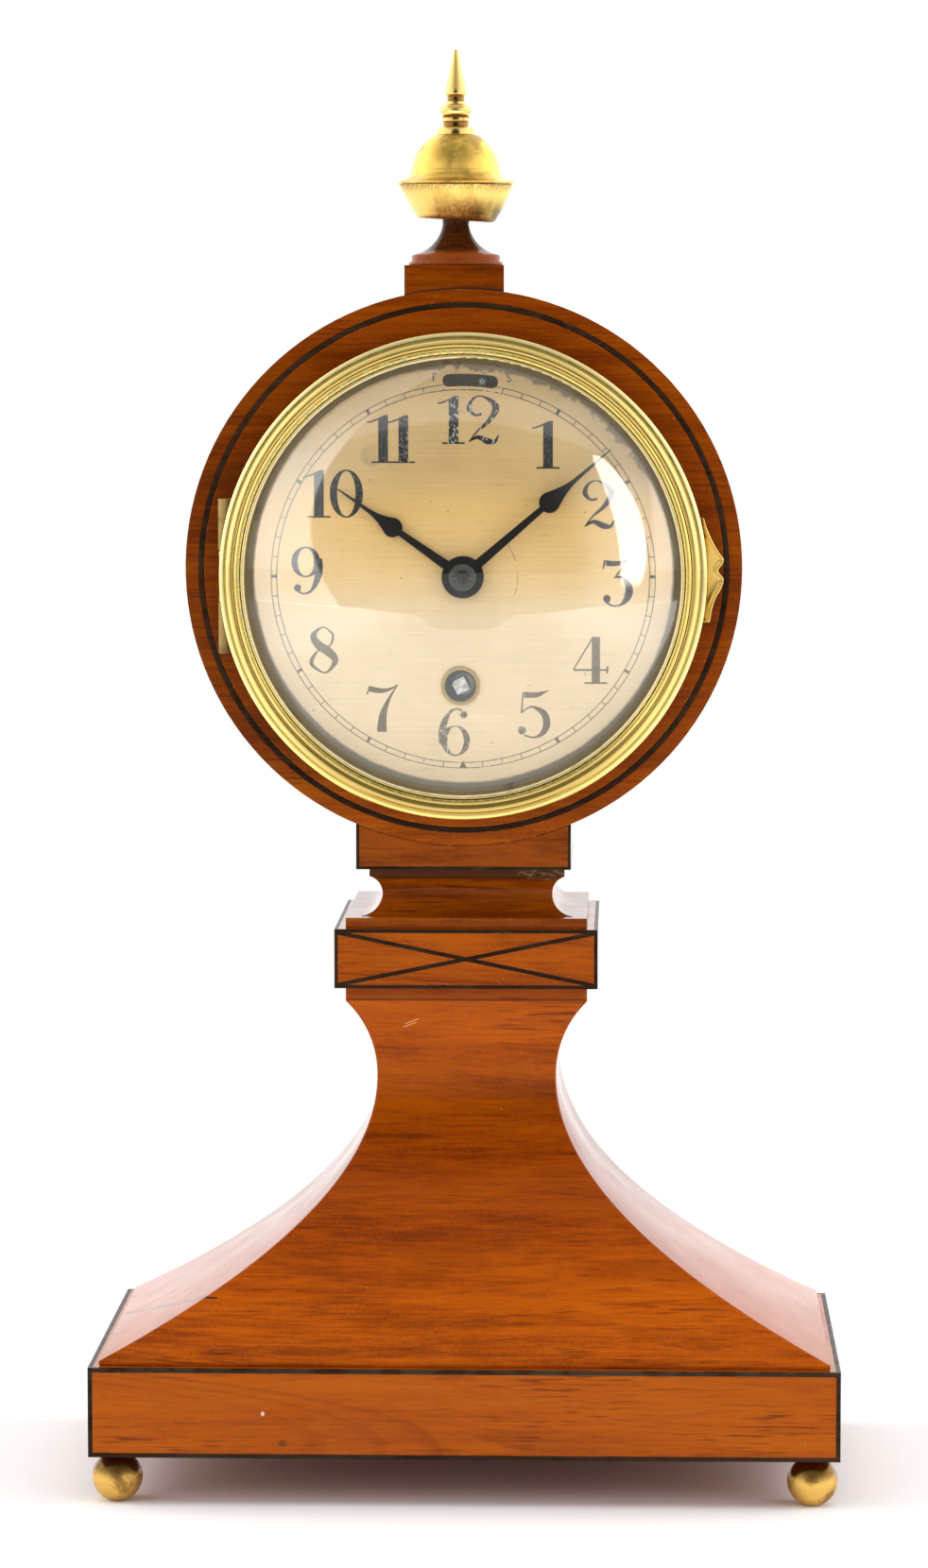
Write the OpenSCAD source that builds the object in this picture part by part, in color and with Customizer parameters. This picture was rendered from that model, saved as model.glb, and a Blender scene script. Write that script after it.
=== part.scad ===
// Balloon clock: a round drum on a flared pedestal and plinth, with a brass finial,
// a hinged glazed bezel and a spring-driven movement with a lever escapement.
// Millimetres. +Z is up, the dial faces -Y and the floor is at z = 0.

/* [Plinth and feet] */
// Width of the plinth
plinth_w = 151; // [125:0.5:180]
// Depth of the plinth
plinth_d = 85; // [76:0.5:105]
// Height of the plinth
plinth_h = 18.2; // [12:0.1:26]
// Size of the ebony edging let into the plinth's edges
plinth_edge = 0.9; // [0.4:0.1:1.8]
// Height of the feet, from the floor to the plinth
foot_h = 9.8; // [7:0.1:13]
// How much wider than high a ball foot is
foot_bulge = 0.4; // [0.2:0.1:1]
// Distance from the plinth's sides to the middle of a foot
foot_inset = 5.4; // [5:0.1:12]
// Radius of the stud that holds a foot
foot_stud_r = 1.2; // [0.8:0.1:1.3]
// Length of that stud inside the plinth
foot_stud_l = 8; // [4:0.5:11]

/* [Pedestal] */
// Step in from the plinth to the pedestal
ped_inset = 2; // [1:0.1:5]
// Height of the upright lip at the pedestal's foot
ped_lip = 1; // [0.5:0.1:3]
// Height of the flare, from the lip up to the neck
flare_h = 55.8; // [40:0.2:75]
// Width of the neck
neck_w = 36.3; // [26:0.1:42]
// Height of the sweep from the neck out to the fillet
sweep_h = 15.3; // [10:0.1:22]
// Height of the fillet under the block
ped_fillet_h = 2.9; // [1.5:0.1:5]
// Step in from the block to the fillet
ped_fillet_in = 2.15; // [1:0.05:4]

/* [Crossed block] */
// Width of the block with the crossed stringing
block_w = 53.2; // [48:0.2:62]
// Depth of that block
block_d = 53.2; // [48:0.2:62]
// Height of that block
block_h = 12; // [8:0.2:18]
// Size of the ebony edging let into the block's edges
block_edge = 0.7; // [0.4:0.05:1.4]
// Width of the crossed stringing
string_w = 0.8; // [0.4:0.05:1.5]
// Depth of the crossed stringing
string_depth = 0.6; // [0.3:0.05:1.2]

/* [Hollow moulding] */
// Step in from the block to the moulding's slab
scotia_in = 2.2; // [1:0.1:4]
// Height of the whole moulding
scotia_h = 12.2; // [11:0.1:18]
// Height of its bottom slab
scotia_slab_h = 2.1; // [1:0.1:2.15]
// Radius of its hollow
cove_r = 4.1; // [3:0.1:5]
// Height of the middle of the hollow
cove_z = 6.3; // [6.2:0.05:7]
// Step in from the slab's edge to the deepest point of the hollow
cove_in = 7.15; // [6:0.05:8]
// How far the saddle stands over the moulding's top fillet
saddle_over = 1.85; // [1:0.05:3]

/* [Saddle and drum] */
// Width of the saddle under the drum
saddle_w = 43.3; // [36:0.1:52]
// Least thickness of the saddle, under the drum's lowest point
saddle_h = 4.9; // [3:0.1:9]
// Size of the ebony edging let into the saddle's edges
saddle_edge = 0.6; // [0.4:0.05:1.2]
// Diameter of the drum
drum_dia = 111.7; // [110:0.1:128]
// Depth of the drum
drum_d = 53; // [50:0.5:62]
// Sideways set of the drum on its saddle, as found
drum_x = -0.5; // [-1.5:0.1:1.5]
// How far the movement and bezel sit below the drum's axis
movement_drop = 1.5; // [0:0.1:3]
// How far inside the sight opening the drum's bore lies
bore_in = 0.1; // [0:0.05:0.3]
// Radius of the ring of ebony stringing
ring_r = 52.7; // [51.5:0.1:53.6]
// Width of that ring
ring_w = 1; // [0.5:0.1:1.8]
// Depth of that ring in the wood
ring_depth = 0.8; // [0.4:0.1:2]

/* [Finial] */
// Sideways set of the finial, as found
finial_x = -2.9; // [-4:0.1:4]
// Width of the square block on the drum
fblock_w = 20.2; // [18:0.1:26]
// Height of that block over the drum's top
fblock_h = 4.9; // [3:0.1:8]
// Radius of the socle's lower fillet
socle_base_r = 9.7; // [9.2:0.1:10]
// Height of the socle's lower fillet
socle_base_h = 0.8; // [0.5:0.1:2]
// Radius of the socle's slab
socle_r = 9.1; // [8:0.1:9.6]
// Height of the socle's slab
socle_h = 1.4; // [0.8:0.1:3]
// Height of the socle's hollow flare
socle_flare_h = 6.1; // [5:0.1:7]
// Radius of that hollow
socle_cove_r = 7.3; // [7.1:0.1:9]
// Radius at the top of the socle
socle_neck_r = 2.7; // [2.4:0.1:3.2]
// Height of the collar under the cup
cup_collar_h = 0.9; // [0.5:0.1:2]
// Radius of the cup's flat bottom
cup_foot_r = 7.9; // [6:0.1:8.4]
// Radius of the cup at its rim
cup_rim_r = 11.1; // [10.6:0.1:11.2]
// Height of the cup
cup_h = 6.8; // [5:0.1:9]
// Lean of the cup, as found
cup_lean = 3; // [0:0.5:4]
// Radius of the brim over the cup
brim_r = 12.1; // [12:0.1:13]
// Height of the turned-down lip of the brim
brim_lip = 1; // [0.6:0.1:1.6]
// Height of the brim's hollow sweep
brim_h = 2.1; // [1.5:0.1:3]
// Radius of the dome
dome_r = 9; // [8.5:0.1:10]
// Radius of the flat on top of the dome
dome_top_r = 4.5; // [4:0.1:5.5]
// Height of the turned spire over the dome
spire_h = 17.4; // [15:0.1:22]
// Radius of the spire's collar
spire_collar_r = 3.9; // [3.4:0.1:4.4]
// Radius of the spire's knop
knop_r = 3.35; // [2.9:0.05:4]
// Radius at the foot of the spire's cone
cone_r = 2.07; // [1.8:0.01:2.4]
// Radius of the stud through the finial
stud_r = 1.5; // [1:0.1:1.7]
// Length of that stud inside the drum
stud_in_drum = 7; // [4:0.5:9]

/* [Bezel and glass] */
// Radius of the sight opening, which sets the dial, the bore and the movement's plates
sight_r = 43.6; // [39:0.1:47]
// Width of the bezel's moulding
bezel_w = 5.2; // [4.8:0.05:5.6]
// Height of the glass's dome
glass_rise = 7.4; // [5:0.1:8.5]
// Thickness of the glass
glass_t = 1.6; // [1.2:0.1:1.8]
// Length of the bezel's hinge
hinge_l = 31; // [24:0.5:33]
// Radius of the hinge's knuckles
knuckle_r = 1.1; // [0.9:0.05:1.1]
// Radius of the hinge pins
hinge_pin_r = 0.5; // [0.35:0.05:0.6]
// Length of the thumb tab
tab_l = 21.3; // [16:0.1:28]
// How far the thumb tab stands out from the bezel
tab_out = 3.3; // [2:0.1:5]
// Height of the thumb tab's middle over the movement's axis
tab_up = 1.5; // [-3:0.1:3]
// Thickness of the thumb tab
tab_t = 1.2; // [0.8:0.1:1.4]

/* [Dial and hands] */
// How far inside the sight opening the dial's edge lies
dial_in = 1.3; // [1.1:0.05:1.6]
// Thickness of the dial
dial_t = 0.8; // [0.5:0.05:1]
// Distance from the dial's edge to the regulator slot's middle line
slot_in = 3.2; // [3:0.05:3.6]
// Width of the regulator slot
slot_w = 2.5; // [2.2:0.05:2.6]
// Half of the regulator slot's angle, between the middles of its round ends
slot_half = 6.3; // [6:0.1:8]
// Turn of the slot's middle from twelve o'clock
slot_turn = 2.1; // [1.5:0.1:3]
// Outer radius of the winding collet
collet_r = 3.9; // [3.7:0.05:4.4]
// Radius of the winding hole
wind_hole_r = 3.15; // [2.8:0.05:3.3]
// Side of the winding square
wind_square = 2.8; // [2.4:0.05:3.2]
// Turn of the winding square, as found
wind_turn = 28; // [0:1:89]
// Length of the hour hand
hour_l = 30.4; // [26:0.1:33]
// Distance from the centre to the hour hand's bulb
hour_bulb_at = 17.1; // [14:0.1:18]
// Radius of the hour hand's bulb
hour_bulb_r = 1.95; // [1.5:0.05:2.4]
// Distance from the dial's edge to the minute hand's tip
minute_in = 3.4; // [2.5:0.1:8]
// Distance from the centre to the minute hand's bulb
minute_bulb_at = 22.8; // [19:0.1:24]
// Radius of the minute hand's bulb
minute_bulb_r = 2.1; // [1.6:0.05:2.6]
// Radius of the hands' bosses
hand_boss_r = 4.17; // [3.6:0.05:4.6]
// Thickness of each hand
hand_t = 0.7; // [0.5:0.05:0.8]
// Angle of the hour hand, clockwise from twelve
hour_at = 305; // [0:1:359]
// Angle of the minute hand, clockwise from twelve
minute_at = 49.2; // [0:0.1:359]

/* [Movement] */
// Thickness of the plates
plate_t = 2; // [1.5:0.1:2.5]
// Distance between the plates
plate_gap = 22; // [21:0.5:24]
// Distance from the drum's face back to the front plate
motion_gap = 5.2; // [5:0.1:5.6]
// Radius of the pillars
pillar_r = 2.2; // [1.6:0.1:3]
// Distance from the plates' edge to the great wheel's teeth
great_in = 1.1; // [0.6:0.1:2]
// Distance from the centre to the left of the winding arbor
wind_left = 0.5; // [0:0.1:1]
// Teeth of the great wheel
great_n = 72; // [72:12:84]
// Leaves of the centre pinion
centre_leaves = 12; // [10:2:14]
// Distance from the roots of the great wheel's teeth to the spring barrel
barrel_in = 1.1; // [0.6:0.1:3]
// Length of the spring barrel
barrel_l = 13; // [9:0.5:13]
// Radius of the ratchet wheel
ratchet_r = 6; // [5:0.1:6.2]
// Radius of the balance wheel
balance_r = 8; // [6.5:0.1:8.2]
// Height of the balance over the centre
balance_up = 24; // [24:0.1:24.6]
// Turn of the regulator index towards slow, as found
index_at = 9.1; // [0:0.1:12]

/* [Back] */
// Step in from the back ring to the back door
door_in = 0.9; // [0.5:0.1:1.4]
// Depth of the back door's rim
door_rim = 3; // [2.5:0.1:4]
// Thickness of the back door
door_t = 1; // [0.7:0.1:1.5]
// Radius of the back door's knob
knob_r = 2.4; // [1.8:0.1:3]

/* [Fits] */
// Gap of a glued seat
glue = 0.05; // [0.02:0.01:0.1]
// Radial gap of a running shaft
run_fit = 0.05; // [0.02:0.01:0.08]
// Radial gap of a fixed stud
stud_fit = 0.04; // [0.02:0.01:0.08]
// Gap between pieces that swing past one another
swing_gap = 0.2; // [0.15:0.05:0.3]

/* [Hidden] */
$fn = 64;

// colours, as the photograph shows them
c_wood = "#b0581b";
c_wood_dark = "#8a4a22";
c_ebony = "#2a1d17";
c_brass = "#c9a04a";
c_old_brass = "#b29650";
c_dial = "#d8bf8e";
c_black = "#1a1512";
c_steel = "#9a9a98";
c_glass = [0.85, 0.92, 0.92, 0.25];

// heights of the case
plinth_top = foot_h + plinth_h;
neck_z = plinth_top + ped_lip + flare_h;
block_z = neck_z + sweep_h + ped_fillet_h;
scotia_z = block_z + block_h;
saddle_z = scotia_z + scotia_h;
drum_r = drum_dia / 2;
drum_z = saddle_z + saddle_h + drum_r;
movement_z = drum_z - movement_drop;
drum_top = drum_z + drum_r;

// pedestal half widths and half depths
foot_hw = plinth_w / 2 - ped_inset;
foot_hd = plinth_d / 2 - ped_inset;
neck_hw = neck_w / 2;
fillet_hw = block_w / 2 - ped_fillet_in;
fillet_hd = block_d / 2 - ped_fillet_in;
flare_steps = 18;
sweep_steps = 8;
sweep_dx = fillet_hw - neck_hw;
sweep_r = (sweep_dx * sweep_dx + sweep_h * sweep_h) / (2 * sweep_dx);

// finial heights
socle_z = drum_top + fblock_h;
socle_top = socle_z + socle_base_h + socle_h + socle_flare_h;
cup_z = socle_top + cup_collar_h;
cup_drop = cup_rim_r * sin(cup_lean);
brim_z = cup_z + cup_h + cup_drop + 0.1;
dome_z = brim_z + 0.5 + brim_h - 0.6;
dome_top = dome_z + sqrt(dome_r * dome_r - dome_top_r * dome_top_r);

// depths in the movement's own frame: x right, y up, z forward from the drum's face
bore_r = sight_r - bore_in;
dial_r = sight_r - dial_in;
seat_t = 1;
sleeve_gap = 0.2;
sleeve_t = 0.9;
sleeve_l = 9;
sleeve_out = bore_r - sleeve_gap;
sleeve_in = sleeve_out - sleeve_t;
seat_in = sleeve_in - 1.6;
ledge_in = sleeve_in - 1.8;
plate_gap_r = 0.4;
plate_r = sleeve_in - plate_gap_r;
slot_r = dial_r - slot_in;
minute_l = dial_r - minute_in;
dial_front = seat_t + dial_t;
fp_front = -motion_gap;
fp_back = fp_front - plate_t;
bp_front = fp_back - plate_gap;
bp_back = bp_front - plate_t;
end_shake = 0.2;
pivot_r = 0.6;
centre_pivot_r = 0.8;
staff_r = 0.5;
lever_pivot_r = 0.4;

// bezel section
bezel_r = sight_r + bezel_w;
over_z = 3.4;
skirt_t = 0.8;
skirt_out = bezel_r - 2.3;
skirt_in = skirt_out - skirt_t;
skirt_z = seat_t + 0.1;
seat_r = skirt_in - 0.4;
rabbet_r = sight_r + 0.9;
lip_z = 6.6;
glass_edge_r = rabbet_r - 0.2;
glass_edge_z = lip_z - 0.5;
glass_ball_r = (glass_edge_r * glass_edge_r + glass_rise * glass_rise) / (2 * glass_rise);
hinge_in = 0.8;
hinge_x = -bezel_r + hinge_in;
hinge_z = 2;
leaf_out = 0.7;
knuckle_l = hinge_l / 3;
leaf_t = 0.8;

// tooth forms: addendum, dedendum, half angle at tip and at root
wheel_form = [0.75, 1.15, 0.35, 1];
leaf_form = [0.6, 1.1, 0.3, 0.8];

// arbors of the train
great_reach = 1 + (great_n + 2 * wheel_form[0]) / (great_n + centre_leaves);
wind_dist = (plate_r - great_in) / great_reach;
winder = [-wind_left, -sqrt(wind_dist * wind_dist - wind_left * wind_left)];
third_dist = 15;
fourth_dist = 12.5;
escape_dist = 10.5;
third = third_dist * [cos(146.4), sin(146.4)];
fourth = third + fourth_dist * [cos(35), sin(35)];
escape = fourth + escape_dist * [1, 0];
balance_right = 1.4;
balance = [balance_right, balance_up];
index_l = slot_r - balance_up - 0.1;
lever_dist = 5.87;
to_balance = balance - escape;
lever_dir = atan2(to_balance[1], to_balance[0]);
lever = escape + lever_dist * [cos(lever_dir), sin(lever_dir)];
minute_dist = 8.4;
minute_stud = [-minute_dist, 0];

// teeth: a train of 64/8, 60/8 and 63/7, and a motion work of 36/12 and 40/10
centre_n = 64;
third_leaves = 8;
third_n = 60;
fourth_leaves = 8;
fourth_n = 63;
escape_leaves = 7;
escape_n = 15;
cannon_n = 12;
minute_n = 36;
minute_leaves = 10;
hour_n = 40;
great_m = 2 * norm(winder) / (great_n + centre_leaves);
centre_m = 2 * norm(third) / (centre_n + third_leaves);
third_m = 2 * norm(fourth - third) / (third_n + fourth_leaves);
fourth_m = 2 * norm(escape - fourth) / (fourth_n + escape_leaves);
minute_m = 2 * norm(minute_stud) / (minute_n + cannon_n);
hour_m = 2 * norm(minute_stud) / (hour_n + minute_leaves);

// the turn at which wheel b meshes with wheel a, seen from a towards b
function mesh_turn(from, to, na, turn_a, nb) =
    let (t = atan2(to[1] - from[1], to[0] - from[0]))
    t + 180 - (0.5 - (t - turn_a) * na / 360) * 360 / nb;
centre_pinion_turn = 0;
great_turn = mesh_turn([0, 0], winder, centre_leaves, centre_pinion_turn, great_n);
centre_turn = 0;
third_pinion_turn = mesh_turn([0, 0], third, centre_n, centre_turn, third_leaves);
third_turn = 0;
fourth_pinion_turn = mesh_turn(third, fourth, third_n, third_turn, fourth_leaves);
fourth_turn = 0;
escape_pinion_turn = mesh_turn(fourth, escape, fourth_n, fourth_turn, escape_leaves);
cannon_turn = 0;
minute_turn = mesh_turn([0, 0], minute_stud, cannon_n, cannon_turn, minute_n);
minute_pinion_turn = 0;
hour_turn = mesh_turn(minute_stud, [0, 0], minute_leaves, minute_pinion_turn, hour_n);

// levels between the plates, back from the front plate
barrel_r = great_m * (great_n / 2 - wheel_form[1]) - barrel_in;
barrel_t = 1;
wind_r = 2;
wind_pivot_r = 1.2;
great_z = fp_back - 3;
great_t = 1.5;
barrel_z = great_z - barrel_l;
cover_t = 1;
centre_z = bp_front + 3;
third_z = fp_back - 6;
fourth_z = fp_back - 13;
escape_z = fp_back - 10;
lever_z = fp_back - 10.1;
platform_z = fp_back - 11.6;
platform_t = 1;
balance_z = fp_back - 3.6;
balance_t = 1.4;
spring_z = fp_back - 1.7;
spring_h = 0.6;
spring_collet_r = 1;
escape_r = 3.6;
pallet_gap = 0.55;
roller_r = 1.1;
index_boss_r = 2;

// levels in front of the front plate
minute_wheel_z = fp_front + 0.8;
minute_wheel_t = 1;
hour_wheel_z = -2.4;
hour_wheel_t = 1;
leaf_over = 0.3;
minute_pin_r = 0.8;
click_pin_r = 0.8;
arbor_r = 1.2;
cannon_r = 1.75;
hour_pipe_r = 2.7;
hour_hand_z = dial_front + 0.8;
minute_hand_z = hour_hand_z + hand_t + 1.1;
collet_z = minute_hand_z + hand_t + 0.05;
collet_t = 0.8;
hand_pin_z = collet_z + collet_t + 0.4;
hand_pin_r = 0.3;
hand_pin_l = 4.4;
ratchet_z = fp_front + 0.5;
ratchet_t = 1.2;
ratchet_n = 18;
click_dist = ratchet_r + 4;
click_gap = 0.25;
click_spring_l = 9;
click_pivot = winder + click_dist * [cos(60), sin(60)];
click_nose = winder + (ratchet_r + click_gap) * [cos(105), sin(105)];

// back of the case
back_flange_t = 1.2;
back_flange_in = bore_r - 5;
back_flange_r = bore_r + 3;
door_r = back_flange_r - door_in;
back_hinge_x = -back_flange_r - knuckle_r;
back_hinge_z = -drum_d - 2.6;
door_front = -drum_d - back_flange_t - 0.2;
strap_w = 8;
strap_x = sleeve_in + 0.05;
strap_t = 0.8;
lug_l = 5;
screw_x = strap_x - 1.65;
screw_head_r = 1.9;
screw_r = 1;

// shared forms
module tube(ro, ri, z0, z1)
    translate([0, 0, z0]) linear_extrude(z1 - z0) difference() {
        circle(ro);
        circle(ri);
    }

module rod(r, z0, z1) translate([0, 0, z0]) cylinder(r = r, h = z1 - z0);

module box_on(w, d, h) translate([-w / 2, -d / 2, 0]) cube([w, d, h]);

// a block without its edges, which leaves square rebates for the edging
module rebated(w, d, h, e) {
    box_on(w - 2 * e, d - 2 * e, h);
    translate([0, 0, e]) box_on(w, d - 2 * e, h - 2 * e);
    translate([0, 0, e]) box_on(w - 2 * e, d, h - 2 * e);
}

function tooth_points(n, m, form) = [for (i = [0:n - 1]) for (k = [0:3])
    let (r = n * m / 2 + (k == 0 || k == 3 ? -form[1] : form[0]) * m,
        a = 360 * i / n + [-form[3], -form[2], form[2], form[3]][k] * 90 / n)
    [r * cos(a), r * sin(a)]];

module teeth(n, m, form, turn) rotate(turn) polygon(tooth_points(n, m, form));

// openings between the spokes of a wheel
module crossings(r_out, r_in, count, spoke)
    difference() {
        circle(r_out);
        circle(r_in);
        for (i = [0:count - 1]) rotate(i * 360 / count)
            translate([-spoke / 2, 0]) square([spoke, r_out + 1]);
    }

module wheel(n, m, turn, z, t, rim, hub, spokes, spoke)
    translate([0, 0, z]) linear_extrude(t) difference() {
        teeth(n, m, wheel_form, turn);
        crossings(n * m / 2 - rim, hub, spokes, spoke);
    }

module pinion(n, m, turn, z0, z1)
    translate([0, 0, z0]) linear_extrude(z1 - z0) teeth(n, m, leaf_form, turn);

// an arbor between the plates, with a pivot in each
module arbor(r) {
    rod(r, bp_front + end_shake, fp_back - end_shake);
    rod(pivot_r, bp_back, fp_front);
}

module at_movement()
    translate([drum_x, -drum_d / 2, movement_z]) rotate([90, 0, 0]) children();

module at(p) translate([p[0], p[1], 0]) children();

// plinth and feet
function foot_at(sx, sy) = [sx * (plinth_w / 2 - foot_inset), sy * (plinth_d / 2 - foot_inset)];

module plinth() color(c_wood) difference() {
    translate([0, 0, foot_h]) rebated(plinth_w, plinth_d, plinth_h, plinth_edge);
    for (sx = [-1, 1]) for (sy = [-1, 1]) at(foot_at(sx, sy))
        rod(foot_stud_r + stud_fit, foot_h - 1, foot_h + foot_stud_l + 0.5);
}

module plinth_edging() color(c_ebony) translate([0, 0, foot_h]) difference() {
    box_on(plinth_w, plinth_d, plinth_h);
    rebated(plinth_w, plinth_d, plinth_h, plinth_edge);
}

module foot(sx, sy) color(c_old_brass) at(foot_at(sx, sy)) {
    intersection() {
        translate([0, 0, foot_h / 2]) sphere(d = foot_h + foot_bulge);
        rod(foot_h, 0, foot_h);
    }
    rod(foot_stud_r, foot_h / 2, foot_h + foot_stud_l);
}

module foot_front_left() foot(-1, -1);
module foot_front_right() foot(1, -1);
module foot_back_left() foot(-1, 1);
module foot_back_right() foot(1, 1);

// pedestal: a parabola from the foot up to the neck, then an arc out to the fillet
function flare_point(t) = [neck_hw + (foot_hw - neck_hw) * t * t, neck_z - flare_h * t];
function sweep_point(u) = [neck_hw + sweep_r - sqrt(sweep_r * sweep_r - pow(u * sweep_h, 2)),
    neck_z + u * sweep_h];
ped_side = concat([[foot_hw, plinth_top]],
    [for (i = [0:flare_steps]) flare_point(1 - i / flare_steps)],
    [for (i = [1:sweep_steps]) sweep_point(i / sweep_steps)],
    [[fillet_hw, block_z]]);
function as_depth(x) = fillet_hd + (x - fillet_hw) * (foot_hd - fillet_hd) / (foot_hw - fillet_hw);
ped_front = [for (p = ped_side) [as_depth(p[0]), p[1]]];
function both_sides(half) = concat(half,
    [for (i = [len(half) - 1:-1:0]) [-half[i][0], half[i][1]]]);

module flared_pedestal() color(c_wood) intersection() {
    rotate([90, 0, 0]) linear_extrude(plinth_d + 10, center = true) polygon(both_sides(ped_side));
    rotate([90, 0, 90]) linear_extrude(plinth_w + 10, center = true) polygon(both_sides(ped_front));
}

// crossed block
inner_w = block_w - 2 * block_edge;
inner_h = block_h - 2 * block_edge;

module crossing_strings() intersection() {
    translate([-inner_w / 2, -block_d / 2, block_z + block_edge]) cube([inner_w, string_depth, inner_h]);
    for (s = [-1, 1]) translate([0, -block_d / 2, block_z + block_h / 2])
        rotate([0, s * atan2(inner_h, inner_w), 0])
            translate([-inner_w, 0, -string_w / 2]) cube([2 * inner_w, string_depth, string_w]);
}

module cross_block() color(c_wood) difference() {
    translate([0, 0, block_z]) rebated(block_w, block_d, block_h, block_edge);
    crossing_strings();
}

module block_edging() color(c_ebony) translate([0, 0, block_z]) difference() {
    box_on(block_w, block_d, block_h);
    rebated(block_w, block_d, block_h, block_edge);
}

module cross_stringing() color(c_ebony) crossing_strings();

// hollow moulding, returned on all four sides
scotia_top = saddle_w / 2 - saddle_over;

module scotia_section(half, top) difference() {
    union() {
        translate([-half, 0]) square([2 * half, scotia_slab_h]);
        translate([-half + cove_in - cove_r, 0]) square([2 * (half - cove_in + cove_r), cove_z]);
        translate([-top, 0]) square([2 * top, scotia_h]);
    }
    for (s = [-1, 1]) translate([s * (half - cove_in + cove_r), cove_z]) circle(cove_r);
}

module scotia_moulding() color(c_wood) translate([0, 0, scotia_z]) intersection() {
    rotate([90, 0, 0]) linear_extrude(block_d + 10, center = true)
        scotia_section(block_w / 2 - scotia_in, scotia_top);
    rotate([90, 0, 90]) linear_extrude(block_w + 10, center = true)
        scotia_section(block_d / 2 - scotia_in, scotia_top + (block_d - block_w) / 2);
}

// saddle, cut to the drum
saddle_horn = drum_z - sqrt(pow(drum_r, 2) - pow(saddle_w / 2, 2)) - saddle_z;

module drum_cut(r) translate([drum_x, 0, drum_z]) rotate([90, 0, 0])
    cylinder(r = r, h = drum_d + 10, center = true);

module saddle_core() {
    translate([0, 0, saddle_edge]) box_on(saddle_w, drum_d - 2 * saddle_edge, saddle_horn);
    translate([0, 0, saddle_edge]) box_on(saddle_w - 2 * saddle_edge, drum_d, saddle_horn);
    box_on(saddle_w - 2 * saddle_edge, drum_d - 2 * saddle_edge, saddle_horn);
}

module saddle_block() color(c_wood) difference() {
    translate([drum_x, 0, saddle_z]) intersection() {
        saddle_core();
        box_on(saddle_w, drum_d, saddle_horn);
    }
    drum_cut(drum_r + glue);
}

module saddle_edging() color(c_ebony) difference() {
    translate([drum_x, 0, saddle_z]) difference() {
        box_on(saddle_w, drum_d, saddle_horn);
        saddle_core();
    }
    drum_cut(drum_r + glue);
}

// drum
module ring_inlay(gap, over) translate([drum_x, -drum_d / 2, drum_z]) rotate([90, 0, 0])
    tube(ring_r + ring_w / 2 + gap, ring_r - ring_w / 2 - gap, -ring_depth, over);

module drum_case() color(c_wood) difference() {
    translate([drum_x, 0, drum_z]) rotate([90, 0, 0])
        cylinder(r = drum_r, h = drum_d, center = true, $fn = 128);
    at_movement() rod(bore_r, -drum_d - 1, 1);
    ring_inlay(stud_fit, 1);
    translate([finial_x, 0, 0])
        rod(stud_r + stud_fit, drum_top - stud_in_drum - 0.5, drum_top + 1);
}

module ring_stringing() color(c_ebony) ring_inlay(0, 0);

// finial
fblock_low = drum_z + sqrt(pow(drum_r, 2) - pow(fblock_w / 2 + abs(finial_x - drum_x), 2));

module finial_block() color(c_wood) difference() {
    translate([finial_x, 0, fblock_low]) box_on(fblock_w, fblock_w, socle_z - fblock_low);
    drum_cut(drum_r + glue);
    translate([finial_x, 0, 0]) rod(stud_r + stud_fit, fblock_low - 1, socle_z + 1);
}

module at_finial(z) translate([finial_x, 0, z]) children();

module finial_socle() color(c_wood_dark) at_finial(socle_z) rotate_extrude() difference() {
    union() {
        square([socle_base_r, socle_base_h]);
        square([socle_r, socle_base_h + socle_h]);
        square([socle_r - 0.5, socle_top - socle_z]);
    }
    translate([socle_neck_r + sqrt(pow(socle_cove_r, 2) - pow(socle_cove_r - socle_flare_h, 2)),
        socle_base_h + socle_h + socle_cove_r]) circle(socle_cove_r);
    square([stud_r + stud_fit, 2 * socle_flare_h + 10]);
}

module finial_stud() color(c_steel) at_finial(0)
    rod(stud_r, drum_top - stud_in_drum, dome_top + 2.2);

cup_lip = 0.9;
cup_low = 0.8;
function cup_side(t) = [cup_foot_r + cup_lip + (cup_rim_r - cup_foot_r - cup_lip) * sin(90 * t),
    cup_low + (cup_h - cup_low) * t];

module finial_cup() color(c_old_brass) difference() {
    at_finial(cup_z) rotate([0, cup_lean, 0]) rotate_extrude() polygon(concat(
        [[0, -cup_collar_h * 0.7], [2.1, -cup_collar_h * 0.7], [2.1, 0], [cup_foot_r, 0],
            [cup_foot_r + 0.6, 0.25]],
        [for (i = [0:8]) cup_side(i / 8)],
        [[0, cup_h]]));
    at_finial(0) rod(stud_r + 0.7, cup_z - 5, cup_z + cup_h + 5);
}

function brim_point(t) = [brim_r - (brim_r - dome_r - 0.1) * sin(90 * t), 0.5 + brim_h * (1 - cos(90 * t))];
dome_from = asin((0.6 + 0.001) / dome_r);
dome_to = acos(dome_top_r / dome_r);

module finial_dome() color(c_brass) at_finial(brim_z) rotate_extrude() difference() {
    polygon(concat(
        [[0, 0], [brim_r - 0.4, 0], [brim_r - 0.4, -brim_lip], [brim_r, -brim_lip]],
        [for (i = [0:6]) brim_point(i / 6)],
        [for (i = [1:12]) let (a = dome_from + (dome_to - dome_from) * i / 12)
            [dome_r * cos(a), dome_z - brim_z + dome_r * sin(a)]],
        [[0, dome_top - brim_z]]));
    translate([0, -5]) square([stud_r + stud_fit, 30]);
}

// heights on the spire: collar, hollow, fillet, knop, fillet, hollow and cone
s_collar = 1.65;
s_hollow = 2.85;
s_fillet = 3.8;
s_knop = 6.3;
s_ring = 7;
s_cone = 8.5;

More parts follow.
